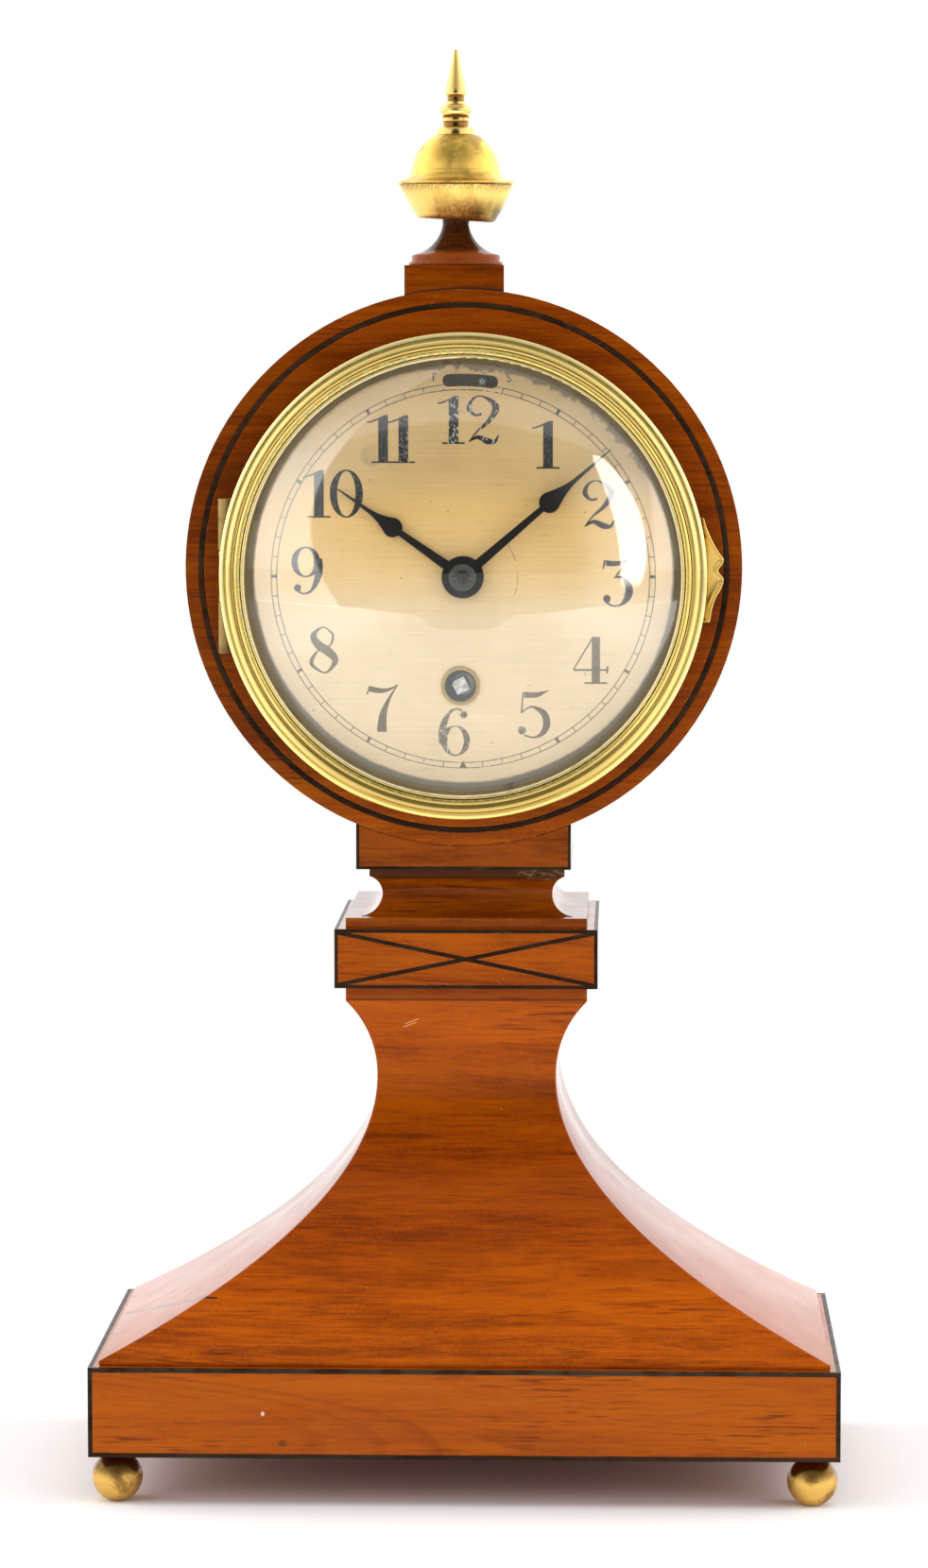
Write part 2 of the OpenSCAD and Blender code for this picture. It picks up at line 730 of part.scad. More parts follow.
module finial_spire() color(c_brass) at_finial(dome_top) rotate_extrude() difference() {
    union() {
        square([spire_collar_r - 0.5, s_collar]);
        square([spire_collar_r, s_collar - 0.5]);
        translate([spire_collar_r - 0.5, s_collar - 0.5]) circle(0.5);
        square([2.6, s_hollow]);
        translate([0, s_hollow]) square([2.9, s_fillet - s_hollow]);
        square([2.1, s_knop]);
        intersection() {
            translate([knop_r - (s_knop - s_fillet) / 2, (s_fillet + s_knop) / 2])
                circle((s_knop - s_fillet) / 2);
            square([knop_r, spire_h]);
        }
        square([2.05, s_ring]);
        square([1.7, s_cone]);
        polygon([[0, s_cone - 0.4], [cone_r - 0.25, s_cone - 0.4], [cone_r, s_cone], [cone_r, s_cone + 0.4],
            [0.25, spire_h - 0.2], [0, spire_h]]);
    }
    translate([0, -1]) square([stud_r + stud_fit, 3.4]);
}

// dial ring: flange, sleeve, ledge, two straps to the back and the fixed hinge knuckles
module knuckle(y0, y1, x, z) translate([x, y0, z]) rotate([-90, 0, 0]) cylinder(r = knuckle_r, h = y1 - y0);

module pin_hole(x, z, l) translate([x, -l, z]) rotate([-90, 0, 0])
    cylinder(r = hinge_pin_r + run_fit, h = 2 * l);

module fixed_knuckles() difference() {
    union() for (s = [-1, 1]) {
        knuckle(s > 0 ? knuckle_l / 2 + swing_gap / 2 : -hinge_l / 2,
            s > 0 ? hinge_l / 2 : -knuckle_l / 2 - swing_gap / 2, hinge_x, hinge_z);
        translate([hinge_x - leaf_out, s > 0 ? knuckle_l / 2 + swing_gap / 2 : -hinge_l / 2, 0])
            cube([1.2, hinge_l / 2 - knuckle_l / 2 - swing_gap / 2, hinge_z]);
    }
    pin_hole(hinge_x, hinge_z, hinge_l);
}

module strap(s) {
    translate([s > 0 ? strap_x : -strap_x - strap_t, -strap_w / 2, -drum_d])
        cube([strap_t, strap_w, drum_d - 1]);
    difference() {
        translate([s > 0 ? screw_x - 2 : -strap_x - 0.1, -strap_w / 2, -drum_d])
            cube([strap_x + 0.1 - screw_x + 2, strap_w, lug_l]);
        translate([s * screw_x, 0, 0]) rod(screw_r + stud_fit, -drum_d - 1, -drum_d + lug_l + 1);
    }
}

module dial_ring() color(c_brass) at_movement() {
    tube(seat_r, seat_in, 0, seat_t);
    tube(sleeve_out, sleeve_in, -sleeve_l, seat_t / 2);
    tube(sleeve_in + 0.2, ledge_in, fp_front, fp_front + 1.5);
    difference() {
        translate([hinge_x - leaf_out, -hinge_l / 2, 0])
            cube([leaf_out - hinge_x - seat_in, hinge_l, leaf_t]);
        rod(seat_in + 0.5, -1, 2);
    }
    fixed_knuckles();
    strap(1);
    strap(-1);
}

module bezel_hinge_pin() color(c_brass) at_movement()
    translate([hinge_x, -hinge_l / 2, hinge_z]) rotate([-90, 0, 0]) cylinder(r = hinge_pin_r, h = hinge_l);

// dial with its feet, centre hole, winding hole and regulator slot
dial_foot_in = 7.3;
dial_feet = [for (a = [30, 150, 300]) (dial_r - dial_foot_in) * [cos(a), sin(a)]];
dial_foot_r = 0.9;

module slot_shape() rotate(-slot_turn) {
    intersection() {
        difference() {
            circle(slot_r + slot_w / 2);
            circle(slot_r - slot_w / 2);
        }
        polygon([[0, 0], for (s = [-1, 1]) 1.5 * slot_r * [s * sin(slot_half), cos(slot_half)]]);
    }
    for (s = [-1, 1]) rotate(s * slot_half) translate([0, slot_r]) circle(slot_w / 2);
}

module dial_plate() color(c_dial) at_movement() {
    translate([0, 0, seat_t]) linear_extrude(dial_t) difference() {
        circle(dial_r, $fn = 128);
        circle(hour_pipe_r + 0.3);
        at(winder) circle(wind_hole_r + 0.35 + stud_fit);
        slot_shape();
    }
    for (p = dial_feet) at(p) rod(dial_foot_r, fp_back, seat_t + dial_t / 2);
}

module winding_collet() color(c_brass) at_movement() at(winder) {
    tube(wind_hole_r + 0.35, wind_hole_r, seat_t, dial_front + 0.3);
    tube(collet_r, wind_hole_r, dial_front, dial_front + 0.5);
}

// bezel: a beaded ring with a skirt behind and a rabbet for the glass
module bezel_section() difference() {
    union() {
        polygon([[sight_r + 0.3, over_z], [bezel_r - 0.4, over_z], [bezel_r - 0.4, over_z + 1.2],
            [bezel_r - 1.6, over_z + 2.1], [bezel_r - 3.2, over_z + 3], [rabbet_r, lip_z + 0.35],
            [sight_r + 0.2, lip_z + 0.35], [sight_r + 0.2, lip_z]]);
        translate([bezel_r - 0.9, over_z + 1.1]) circle(0.9);
        translate([bezel_r - 2.35, over_z + 2.5]) circle(0.85);
        translate([bezel_r - 3.75, over_z + 3.3]) circle(0.6);
        translate([sight_r + 0.4, lip_z + 0.4]) circle(0.4);
        translate([skirt_in, skirt_z]) square([skirt_out - skirt_in, over_z + 0.3 - skirt_z]);
    }
    square([rabbet_r, lip_z]);
}

module bezel_ring() color(c_brass) at_movement() {
    rotate_extrude($fn = 128) bezel_section();
    difference() {
        union() {
            knuckle(-knuckle_l / 2 + swing_gap / 2, knuckle_l / 2 - swing_gap / 2, hinge_x, hinge_z);
            translate([hinge_x, -knuckle_l / 2 + swing_gap / 2, hinge_z - 0.5])
                cube([-skirt_out + 0.5 - hinge_x, knuckle_l - swing_gap, over_z + 0.3 - hinge_z + 0.5]);
        }
        pin_hole(hinge_x, hinge_z, hinge_l);
    }
}

// thumb tab: an ogee bracket soldered behind the bezel's rim
module bezel_tab() color(c_brass) at_movement() translate([0, tab_up, over_z - tab_t]) linear_extrude(tab_t)
    difference() {
        intersection() {
            translate([skirt_out + 0.3, -tab_l / 2]) square([10, tab_l]);
            union() {
                circle(bezel_r - 0.2);
                for (s = [-1, 1]) translate([bezel_r + tab_out - 2.4, s * 2.1]) circle(2.4);
                translate([bezel_r - 6, -4.3]) square([5.5 + tab_out - 2.4, 8.6]);
                for (s = [-1, 1]) difference() {
                    translate([bezel_r - 6, s > 0 ? 0 : -tab_l / 2 - 0.4]) square([7, tab_l / 2 + 0.4]);
                    translate([bezel_r + 6.1, s * (tab_l / 2 + 0.4)]) circle(7.2);
                }
            }
        }
        translate([bezel_r + tab_out + 0.5, 0]) circle(1);
    }

module convex_glass() color(c_glass) at_movement() intersection() {
    translate([0, 0, glass_edge_z + glass_rise - glass_ball_r]) difference() {
        sphere(glass_ball_r, $fn = 128);
        sphere(glass_ball_r - glass_t, $fn = 128);
    }
    rod(glass_edge_r, 0, 40);
}

module glass_retainer() color(c_brass) at_movement()
    tube(rabbet_r - 0.05, sight_r - 0.3, over_z + 0.2, over_z + 0.8);

// hands: a tapered stem, a pear-shaped bulb and a fine point
stem_foot = 0.95;
stem_top = 0.62;
neck_hand = 0.42;
tip_hand = 0.12;
bulb_low = -72;
bulb_high = 18;
function bulb_side(l, c, r) = concat([[stem_foot, 0], [stem_top, c + r * sin(bulb_low)]],
    [for (i = [1:8]) let (a = bulb_low + (bulb_high - bulb_low) * i / 8) [r * cos(a), c + r * sin(a)]],
    [for (i = [1:7]) let (t = i / 7, r0 = r * cos(bulb_high), z0 = c + r * sin(bulb_high))
        [neck_hand + (r0 - neck_hand) * pow(1 - t, 1.7), z0 + (c + 0.43 * (l - c) - z0) * t]],
    [[tip_hand, l]]);

module hand_shape(l, at_bulb, r_bulb, bore) difference() {
    union() {
        circle(hand_boss_r);
        polygon(both_sides(bulb_side(l, at_bulb, r_bulb)));
    }
    circle(bore);
}

module minute_hand() color(c_black) at_movement() translate([0, 0, minute_hand_z]) linear_extrude(hand_t)
    rotate(-minute_at) hand_shape(minute_l, minute_bulb_at, minute_bulb_r, cannon_r + 0.02);

module cannon_pinion() color(c_steel) at_movement() difference() {
    union() {
        pinion(cannon_n, minute_m, cannon_turn, minute_wheel_z - leaf_over,
            minute_wheel_z + minute_wheel_t + leaf_over);
        rod(cannon_r, fp_front + 0.2, minute_hand_z + hand_t);
    }
    rod(arbor_r + run_fit, fp_front - 1, minute_hand_z + 5);
}

module hour_hand() color(c_black) at_movement() translate([0, 0, hour_hand_z]) linear_extrude(hand_t)
    rotate(-hour_at) hand_shape(hour_l, hour_bulb_at, hour_bulb_r, hour_pipe_r + 0.02);

module hour_wheel() color(c_brass) at_movement() difference() {
    union() {
        wheel(hour_n, hour_m, hour_turn, hour_wheel_z, hour_wheel_t, 1.6, 3.6, 4, 1.2);
        rod(hour_pipe_r, hour_wheel_z, hour_hand_z + hand_t);
    }
    rod(cannon_r + run_fit, fp_front, minute_hand_z);
}

module minute_wheel() color(c_brass) at_movement() at(minute_stud) difference() {
    union() {
        wheel(minute_n, minute_m, minute_turn, minute_wheel_z, minute_wheel_t, 1.6, 2.6, 4, 1.1);
        pinion(minute_leaves, hour_m, minute_pinion_turn, minute_wheel_z + 0.4,
            hour_wheel_z + hour_wheel_t + leaf_over);
    }
    rod(minute_pin_r + run_fit, fp_front, dial_front);
}

// plates and pillars
pillar_in = 4.2;
pillar_at = [for (a = [18.5, 161.5, 207, 333]) (plate_r - pillar_in) * [cos(a), sin(a)]];
pillar_pin = 1.2;

module plate_holes(extra) {
    at(winder) circle((extra ? wind_r : wind_pivot_r) + run_fit);
    for (p = [third, fourth, escape]) at(p) circle(pivot_r + run_fit);
    for (p = pillar_at) at(p) circle(pillar_pin + stud_fit);
}

module front_plate() color(c_brass) at_movement() {
    translate([0, 0, fp_back]) linear_extrude(plate_t) difference() {
        circle(plate_r, $fn = 128);
        plate_holes(true);
        circle(arbor_r + run_fit);
        at(balance) circle(staff_r + run_fit);
        for (p = dial_feet) at(p) circle(dial_foot_r + stud_fit);
        at(click_pivot) circle(click_pin_r + stud_fit);
    }
    at(minute_stud) rod(minute_pin_r, fp_front - 0.5, hour_wheel_z + hour_wheel_t + 0.5);
    at(balance) tube(index_boss_r, staff_r + run_fit, fp_front - 0.5, fp_front + 0.8);
    at(balance) translate([coil_in + coil_step * coil_turns + coil_t / 2 + spring_stud_r + 0.1, 0])
        rod(spring_stud_r, spring_z, fp_back + 0.5);
}

module back_plate() color(c_brass) at_movement() translate([0, 0, bp_back]) linear_extrude(plate_t)
    difference() {
        circle(plate_r, $fn = 128);
        plate_holes(false);
        circle(centre_pivot_r + run_fit);
    }

module plate_pillars() color(c_brass) at_movement() for (p = pillar_at) at(p) {
    rod(pillar_r, bp_front, fp_back);
    rod(pillar_pin, bp_back - 1.5, fp_front);
    tube(pillar_r, pillar_pin - 0.1, bp_back - 1.3, bp_back);
}

// spring barrel with the great wheel, its cover and the winding arbor
module spring_barrel() color(c_brass) at_movement() at(winder) difference() {
    union() {
        translate([0, 0, great_z]) linear_extrude(great_t) teeth(great_n, great_m, wheel_form, great_turn);
        rod(barrel_r, barrel_z, great_z + 0.1);
    }
    rod(barrel_r - barrel_t, barrel_z - 1, barrel_z + cover_t);
    rod(wind_r + run_fit, barrel_z - 1, fp_front);
}

module barrel_cover() color(c_brass) at_movement() at(winder)
    tube(barrel_r - barrel_t - stud_fit, wind_r + run_fit, barrel_z, barrel_z + cover_t);

module winding_arbor() color(c_steel) at_movement() at(winder) {
    rod(wind_r, bp_front + end_shake, ratchet_z);
    rod(wind_pivot_r, bp_back, bp_front + ratchet_t);
    intersection() {
        rotate(wind_turn) translate([-wind_square / 2, -wind_square / 2, ratchet_z - 0.5])
            cube([wind_square, wind_square, dial_front - ratchet_z + 0.7]);
        rod(wind_r, ratchet_z - ratchet_t, dial_front + wind_square);
    }
}

module ratchet_wheel() color(c_steel) at_movement() at(winder)
    translate([0, 0, ratchet_z]) linear_extrude(ratchet_t) difference() {
        polygon([for (i = [0:ratchet_n - 1]) for (k = [0, 1]) let (a = (i + k * 0.12) * 360 / ratchet_n)
            (k == 0 ? ratchet_r - 1 : ratchet_r) * [cos(a), sin(a)]]);
        rotate(wind_turn) square(wind_square + 2 * stud_fit, center = true);
    }

// click and its spring
click_dir = atan2(click_nose[1] - click_pivot[1], click_nose[0] - click_pivot[0]);
click_up = [cos(click_dir - 90), sin(click_dir - 90)];
click_half = 0.9;

module click() color(c_steel) at_movement() {
    translate([0, 0, ratchet_z]) linear_extrude(ratchet_t) {
        at(click_pivot) circle(1.6);
        polygon([click_pivot + click_half * click_up, click_nose + click_half * click_up, click_nose,
            click_pivot - click_half * click_up]);
    }
    at(click_pivot) rod(click_pin_r, fp_back, ratchet_z + 0.5);
}

module click_spring() color(c_steel) at_movement() {
    mid = (click_pivot + click_nose) / 2 + 1.4 * click_up;
    tail = mid + click_spring_l * [cos(175), sin(175)];
    d = tail - mid;
    at(tail) rod(1.2, fp_front, ratchet_z + ratchet_t);
    at(mid) rotate(atan2(d[1], d[0])) translate([0, -0.2, ratchet_z + 0.2])
        cube([norm(d), 0.4, ratchet_t - 0.4]);
}

// train
module centre_wheel() color(c_brass) at_movement() difference() {
    union() {
        rod(arbor_r, bp_front + end_shake, collet_z + collet_t + 1.2);
        rod(centre_pivot_r, bp_back, bp_front + 1);
        pinion(centre_leaves, great_m, centre_pinion_turn, great_z - 0.6, great_z + great_t + 0.6);
        wheel(centre_n, centre_m, centre_turn, centre_z, 1, 2, 3, 5, 1.4);
    }
    translate([-hour_pipe_r, 0, hand_pin_z]) rotate([0, 90, 0])
        cylinder(r = hand_pin_r + stud_fit, h = 2 * hour_pipe_r);
}

module hand_collet() color(c_steel) at_movement() {
    tube(hour_pipe_r, arbor_r + stud_fit, collet_z, collet_z + collet_t);
    translate([-hand_pin_l / 2, 0, hand_pin_z]) rotate([0, 90, 0]) cylinder(r = hand_pin_r, h = hand_pin_l);
}

module third_wheel() color(c_brass) at_movement() at(third) {
    arbor(0.9);
    pinion(third_leaves, centre_m, third_pinion_turn, centre_z - 0.6, centre_z + 1.6);
    wheel(third_n, third_m, third_turn, third_z, 0.9, 1.6, 2.4, 5, 1.1);
}

module fourth_wheel() color(c_brass) at_movement() at(fourth) {
    arbor(0.8);
    pinion(fourth_leaves, third_m, fourth_pinion_turn, third_z - 0.6, third_z + 1.5);
    wheel(fourth_n, fourth_m, fourth_turn, fourth_z, 0.9, 1.4, 2.2, 5, 1);
}

module escape_wheel() color(c_steel) at_movement() at(escape) {
    arbor(0.65);
    pinion(escape_leaves, fourth_m, escape_pinion_turn, fourth_z - 0.6, fourth_z + 1.3);
    translate([0, 0, escape_z]) linear_extrude(0.6) difference() {
        polygon([for (i = [0:escape_n - 1]) for (k = [0:2])
            let (a = (i + [0, 0.16, 0.5][k]) * 360 / escape_n)
            [escape_r, escape_r, escape_r - 1][k] * [cos(a), sin(a)]]);
        crossings(escape_r - 1.5, 1.2, 4, 0.6);
    }
}

// platform on two posts, behind the balance, with a small cock over the lever
cock_drop = 7.6;
cock_z = fp_back - cock_drop;
lever_boss_r = 2.2;
cock_t = 0.8;
cock_at = lever + 3.4 * [cos(lever_dir - 70), sin(lever_dir - 70)];
post_at = [for (a = [150, 30]) balance + (balance_r + 2.2) * [cos(a), sin(a)]];

module bar(from, to, w) let (d = to - from) at(from) rotate(atan2(d[1], d[0]))
    translate([0, -w / 2]) square([norm(d), w]);

module escape_platform() color(c_brass) at_movement() {
    translate([0, 0, platform_z]) linear_extrude(platform_t) difference() {
        union() {
            at(balance) circle(3);
            at(lever) circle(lever_boss_r);
            at(cock_at) circle(1.4);
            bar(balance, lever, 2 * lever_boss_r);
            bar(lever, cock_at, 2);
            for (p = post_at) {
                at(p) circle(1.8);
                bar(balance, p, 3);
            }
        }
        at(balance) circle(staff_r + run_fit);
        at(lever) circle(lever_pivot_r + run_fit);
    }
    for (p = post_at) at(p) rod(1.3, platform_z, fp_back);
    at(cock_at) rod(0.9, platform_z, cock_z + cock_t);
    translate([0, 0, cock_z]) linear_extrude(cock_t) difference() {
        union() {
            at(lever) circle(1.4);
            at(cock_at) circle(1.4);
            bar(lever, cock_at, 1.8);
        }
        at(lever) circle(lever_pivot_r + run_fit);
    }
}

// lever with two pallet arms and a fork
pallet_angle = 45;
pallet_l = 1.5;

module pallet_lever() color(c_steel) at_movement() {
    translate([0, 0, lever_z]) linear_extrude(0.8) {
        at(lever) circle(1.1);
        for (s = [-1, 1]) {
            out = [cos(lever_dir + s * pallet_angle), sin(lever_dir + s * pallet_angle)];
            tip = escape + (escape_r + pallet_gap) * out;
            heel = tip + pallet_l * out;
            bar(lever, heel, 0.9);
            bar(tip, heel, 0.9);
            at(heel) circle(0.45);
        }
        reach = norm(balance - lever) - roller_r - 0.7;
        bar(lever, lever + reach * [cos(lever_dir), sin(lever_dir)], 0.9);
        at(lever + reach * [cos(lever_dir), sin(lever_dir)]) rotate(lever_dir) difference() {
            translate([-0.9, -0.9]) square([0.9, 1.8]);
            translate([-0.5, -0.35]) square([1, 0.7]);
        }
    }
    at(lever) rod(lever_pivot_r, platform_z, cock_z + cock_t);
}

module balance_wheel() color(c_brass) at_movement() at(balance) {
    rod(staff_r, platform_z, fp_front);
    rod(spring_collet_r, balance_z - 0.8, spring_z + spring_h);
    tube(roller_r, 0.4, lever_z - 0.2, lever_z);
    rotate(lever_dir + 180) translate([roller_r - 0.3, 0]) rod(0.22, lever_z - 0.2, lever_z + 0.8);
    translate([0, 0, balance_z]) linear_extrude(balance_t) {
        difference() {
            circle(balance_r);
            circle(balance_r - 1.3);
        }
        difference() {
            square([2 * balance_r - 1, 1.3], center = true);
            circle(0.4);
        }
    }
}

// hairspring: a flat spiral from the balance's collet to a stud on the front plate
coil_turns = 4;
coil_in = 1;
coil_step = 0.85;
coil_t = 0.24;
spring_stud_r = 0.5;
function coil_point(i, side) = let (a = i * 15, r = coil_in + coil_step * a / 360 + side * coil_t / 2)
    [r * cos(a), r * sin(a)];
coil_n = coil_turns * 24;

module hairspring() color(c_steel) at_movement() at(balance)
    translate([0, 0, spring_z]) linear_extrude(spring_h) difference() {
        polygon(concat([for (i = [0:coil_n]) coil_point(i, 1)],
            [for (i = [coil_n:-1:0]) coil_point(i, -1)]));
        circle(spring_collet_r + stud_fit);
    }

// regulator index: turns on the front plate's boss, with a pin in the dial's slot
module regulator_index() color(c_steel) at_movement() at(balance) rotate(-index_at) {
    translate([0, 0, fp_front + 0.05]) linear_extrude(0.7) difference() {
        union() {
            circle(3.2);
            translate([-0.7, 0]) square([1.4, index_l]);
            translate([0, index_l]) circle(0.9);
        }
        circle(index_boss_r + run_fit);
    }
    translate([0, index_l]) rod(0.4, fp_front + 0.3, dial_front - 0.2);
}

// back of the case: ring, screws into the straps, and a hinged door
module back_ring() color(c_brass) at_movement() {
    difference() {
        union() {
            tube(back_flange_r, back_flange_in, -drum_d - back_flange_t, -drum_d);
            translate([back_hinge_x - leaf_out, -hinge_l / 2, -drum_d - leaf_t]) cube([4, hinge_l, leaf_t]);
            for (s = [-1, 1]) {
                knuckle(s > 0 ? knuckle_l / 2 + swing_gap / 2 : -hinge_l / 2,
                    s > 0 ? hinge_l / 2 : -knuckle_l / 2 - swing_gap / 2, back_hinge_x, back_hinge_z);
                translate([back_hinge_x - leaf_out, s > 0 ? knuckle_l / 2 + swing_gap / 2 : -hinge_l / 2,
                    back_hinge_z])
                    cube([1.2, hinge_l / 2 - knuckle_l / 2 - swing_gap / 2, -drum_d - back_hinge_z]);
            }
        }
        for (s = [-1, 1]) translate([s * screw_x, 0, 0])
            rod(screw_r + stud_fit, -drum_d - back_flange_t - 1, -drum_d + 1);
    }
    translate([back_hinge_x, -hinge_l / 2, back_hinge_z]) rotate([-90, 0, 0])
        cylinder(r = hinge_pin_r, h = hinge_l);
}

module strap_screws() color(c_steel) at_movement() for (s = [-1, 1]) at([s * screw_x, 0]) {
    rod(screw_r, -drum_d - back_flange_t - 0.1, -drum_d + lug_l - 0.5);
    difference() {
        rod(screw_head_r, -drum_d - back_flange_t - 0.9, -drum_d - back_flange_t);
        translate([-screw_head_r - 1, -0.25, -drum_d - back_flange_t - 1.4])
            cube([2 * screw_head_r + 2, 0.5, 0.9]);
    }
}

module back_door() color(c_brass) at_movement() difference() {
    union() {
        rod(door_r, door_front - door_rim - door_t, door_front - door_rim);
        tube(door_r, door_r - 1, door_front - door_rim - 0.1, door_front);
        knuckle(-knuckle_l / 2 + swing_gap / 2, knuckle_l / 2 - swing_gap / 2, back_hinge_x, back_hinge_z);
        translate([back_hinge_x, -knuckle_l / 2 + swing_gap / 2, back_hinge_z - 0.9])
            cube([-door_r + 0.5 - back_hinge_x, knuckle_l - swing_gap, 1.4]);
        translate([door_r - 8, 0, 0]) {
            rod(knob_r * 0.5, door_front - door_rim - door_t - 2.5, door_front - door_rim - door_t + 0.1);
            translate([0, 0, door_front - door_rim - door_t - 1.5 - knob_r]) sphere(knob_r);
        }
    }
    pin_hole(back_hinge_x, back_hinge_z, hinge_l);
}

plinth();
plinth_edging();
foot_front_left();
foot_front_right();
foot_back_left();
foot_back_right();
flared_pedestal();
cross_block();
block_edging();
cross_stringing();
scotia_moulding();
saddle_block();
saddle_edging();
drum_case();
ring_stringing();
finial_block();
finial_socle();
finial_stud();
finial_cup();
finial_dome();
finial_spire();
dial_ring();
dial_plate();
winding_collet();
bezel_hinge_pin();
bezel_ring();
bezel_tab();
convex_glass();
glass_retainer();
minute_hand();
cannon_pinion();
hour_hand();
hour_wheel();
minute_wheel();
front_plate();
back_plate();
plate_pillars();
spring_barrel();
barrel_cover();
winding_arbor();
ratchet_wheel();
click();
click_spring();
centre_wheel();
hand_collet();
third_wheel();
fourth_wheel();
escape_wheel();
escape_platform();
pallet_lever();
balance_wheel();
hairspring();
regulator_index();
back_ring();
strap_screws();
back_door();
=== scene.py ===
# %% [markdown]
# # A balloon clock, dressed in Blender
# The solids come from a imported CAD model. This lesson gives them their woods, metals, dial and
# light. A piece's lengths are in millimetres until it becomes a mesh, because clockmakers and
# cabinetmakers work in millimetres. Inside a material they are in metres, as Blender's own are.

# %% Load the frame
import bpy
import bmesh
import math
from mathutils import Vector, Matrix, geometry


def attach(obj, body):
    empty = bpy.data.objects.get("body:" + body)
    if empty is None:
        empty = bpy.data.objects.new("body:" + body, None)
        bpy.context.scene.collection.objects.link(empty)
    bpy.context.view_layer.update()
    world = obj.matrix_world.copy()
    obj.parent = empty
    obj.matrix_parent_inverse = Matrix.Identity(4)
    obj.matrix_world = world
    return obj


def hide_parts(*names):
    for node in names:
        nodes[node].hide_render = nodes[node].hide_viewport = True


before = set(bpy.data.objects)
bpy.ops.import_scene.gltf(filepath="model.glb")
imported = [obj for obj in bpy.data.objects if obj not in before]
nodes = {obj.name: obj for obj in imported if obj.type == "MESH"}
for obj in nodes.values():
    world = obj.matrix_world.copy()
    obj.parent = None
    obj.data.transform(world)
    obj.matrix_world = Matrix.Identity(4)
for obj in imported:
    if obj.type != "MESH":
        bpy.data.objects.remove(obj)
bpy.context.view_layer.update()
MM = 0.001

# %% [markdown]
# ## The camera
# The photograph was taken with a long lens, a little above the dial and a little to its right. The
# place comes from lining up the plinth's corners, the drum and the finial with the picture. A long
# lens keeps upright lines upright, so no shift is needed.

# %% Camera
CAMERA_AT = (0.03255, -1.06341, 0.23817)
LOOK_DOWN = 5.157
LOOK_LEFT = 1.819
lens = bpy.data.cameras.new("studio_camera")
lens.sensor_fit = "VERTICAL"
lens.sensor_height = 36
lens.lens = 118.74
camera = bpy.data.objects.new("studio_camera", lens)
camera.location = CAMERA_AT
camera.rotation_euler = (math.radians(90 - LOOK_DOWN), 0, math.radians(LOOK_LEFT))
bpy.context.collection.objects.link(camera)
bpy.context.scene.camera = camera
bpy.context.scene.view_settings.view_transform = "Standard"
print("camera at", tuple(round(c, 3) for c in camera.location))

# %% [markdown]
# ## Sums with sockets
# A material is a network of nodes, and most of its nodes are plain sums. `Value` holds one output of
# a node. Two of them can be added, multiplied or compared like numbers, and each sum makes its own
# Math node, so a mask reads like the arithmetic that it is.

# %% Value
class Value:
    def __init__(self, socket):
        self.socket = socket
        self.tree = socket.id_data

    def __add__(self, other):
        return sums("ADD", self, other)

    def __sub__(self, other):
        return sums("SUBTRACT", self, other)

    def __rsub__(self, other):
        return sums("SUBTRACT", other, self)

    def __mul__(self, other):
        return sums("MULTIPLY", self, other)

    def __truediv__(self, other):
        return sums("DIVIDE", self, other)

    def __pow__(self, other):
        return sums("POWER", self, other)

    def __lt__(self, other):
        return sums("LESS_THAN", self, other)

    def __gt__(self, other):
        return sums("GREATER_THAN", self, other)

    def __abs__(self):
        return sums("ABSOLUTE", self)


print("a Value answers to + - * / ** < > and abs")

# %% Making nodes
def plug(node, inputs):
    for name, value in inputs.items():
        socket = node.inputs[name.replace("_", " ") if isinstance(name, str) else name]
        if isinstance(value, Value):
            node.id_data.links.new(value.socket, socket)
        else:
            socket.default_value = value


def add(tree, kind, inputs=None, **settings):
    node = tree.nodes.new(kind)
    for name, value in settings.items():
        setattr(node, name, value)
    plug(node, inputs or {})
    return node


def out(node, name=0):
    return Value(node.outputs[name])


def tree_of(*items):
    return next(item.tree for item in items if isinstance(item, Value))


def sums(operation, a, b=0.0):
    return out(add(tree_of(a, b), "ShaderNodeMath", {0: a, 1: b}, operation=operation))


print("sums ready")

# %% [markdown]
# ## Small helpers for shader nodes
# Each of these makes one kind of node that the finishes below use again and again. `remap` turns a
# measure into a soft mask, `noise` gives cloudy patches, and `stretch` pulls them long. A node group
# is made once, with inputs and outputs of its own, and is then used like a single node.

# %% Masks and textures
def remap(value, low, high, to_low=0.0, to_high=1.0):
    inputs = {"Value": value, "From Min": low, "From Max": high, "To Min": to_low, "To Max": to_high}
    return out(add(value.tree, "ShaderNodeMapRange", inputs, interpolation_type="SMOOTHSTEP"))


def noise(vector, scale, detail=2.0, roughness=0.5, distortion=0.0):
    inputs = {"Vector": vector, "Scale": scale, "Detail": detail, "Roughness": roughness,
              "Distortion": distortion}
    return out(add(vector.tree, "ShaderNodeTexNoise", inputs))


def stretch(vector, scale, move=(0, 0, 0)):
    return out(add(vector.tree, "ShaderNodeMapping", {"Vector": vector, "Scale": scale, "Location": move}))


def join(x, y, z):
    return out(add(tree_of(x, y, z), "ShaderNodeCombineXYZ", {0: x, 1: y, 2: z}))


print("mask and texture helpers ready")

# %% Node groups
def new_group(name, inputs, outputs):
    tree = bpy.data.node_groups.new(name, "ShaderNodeTree")
    for label, value in inputs.items():
        kind = "NodeSocketVector" if value is None else "NodeSocketFloat"
        socket = tree.interface.new_socket(label, in_out="INPUT", socket_type=kind)
        if value is not None:
            socket.default_value = value
    for label in outputs:
        kind = "NodeSocketVector" if label == "Normal" else "NodeSocketFloat"
        tree.interface.new_socket(label, in_out="OUTPUT", socket_type=kind)
    given = tree.nodes.new("NodeGroupInput")
    return tree, {label: out(given, label) for label in inputs}, tree.nodes.new("NodeGroupOutput")


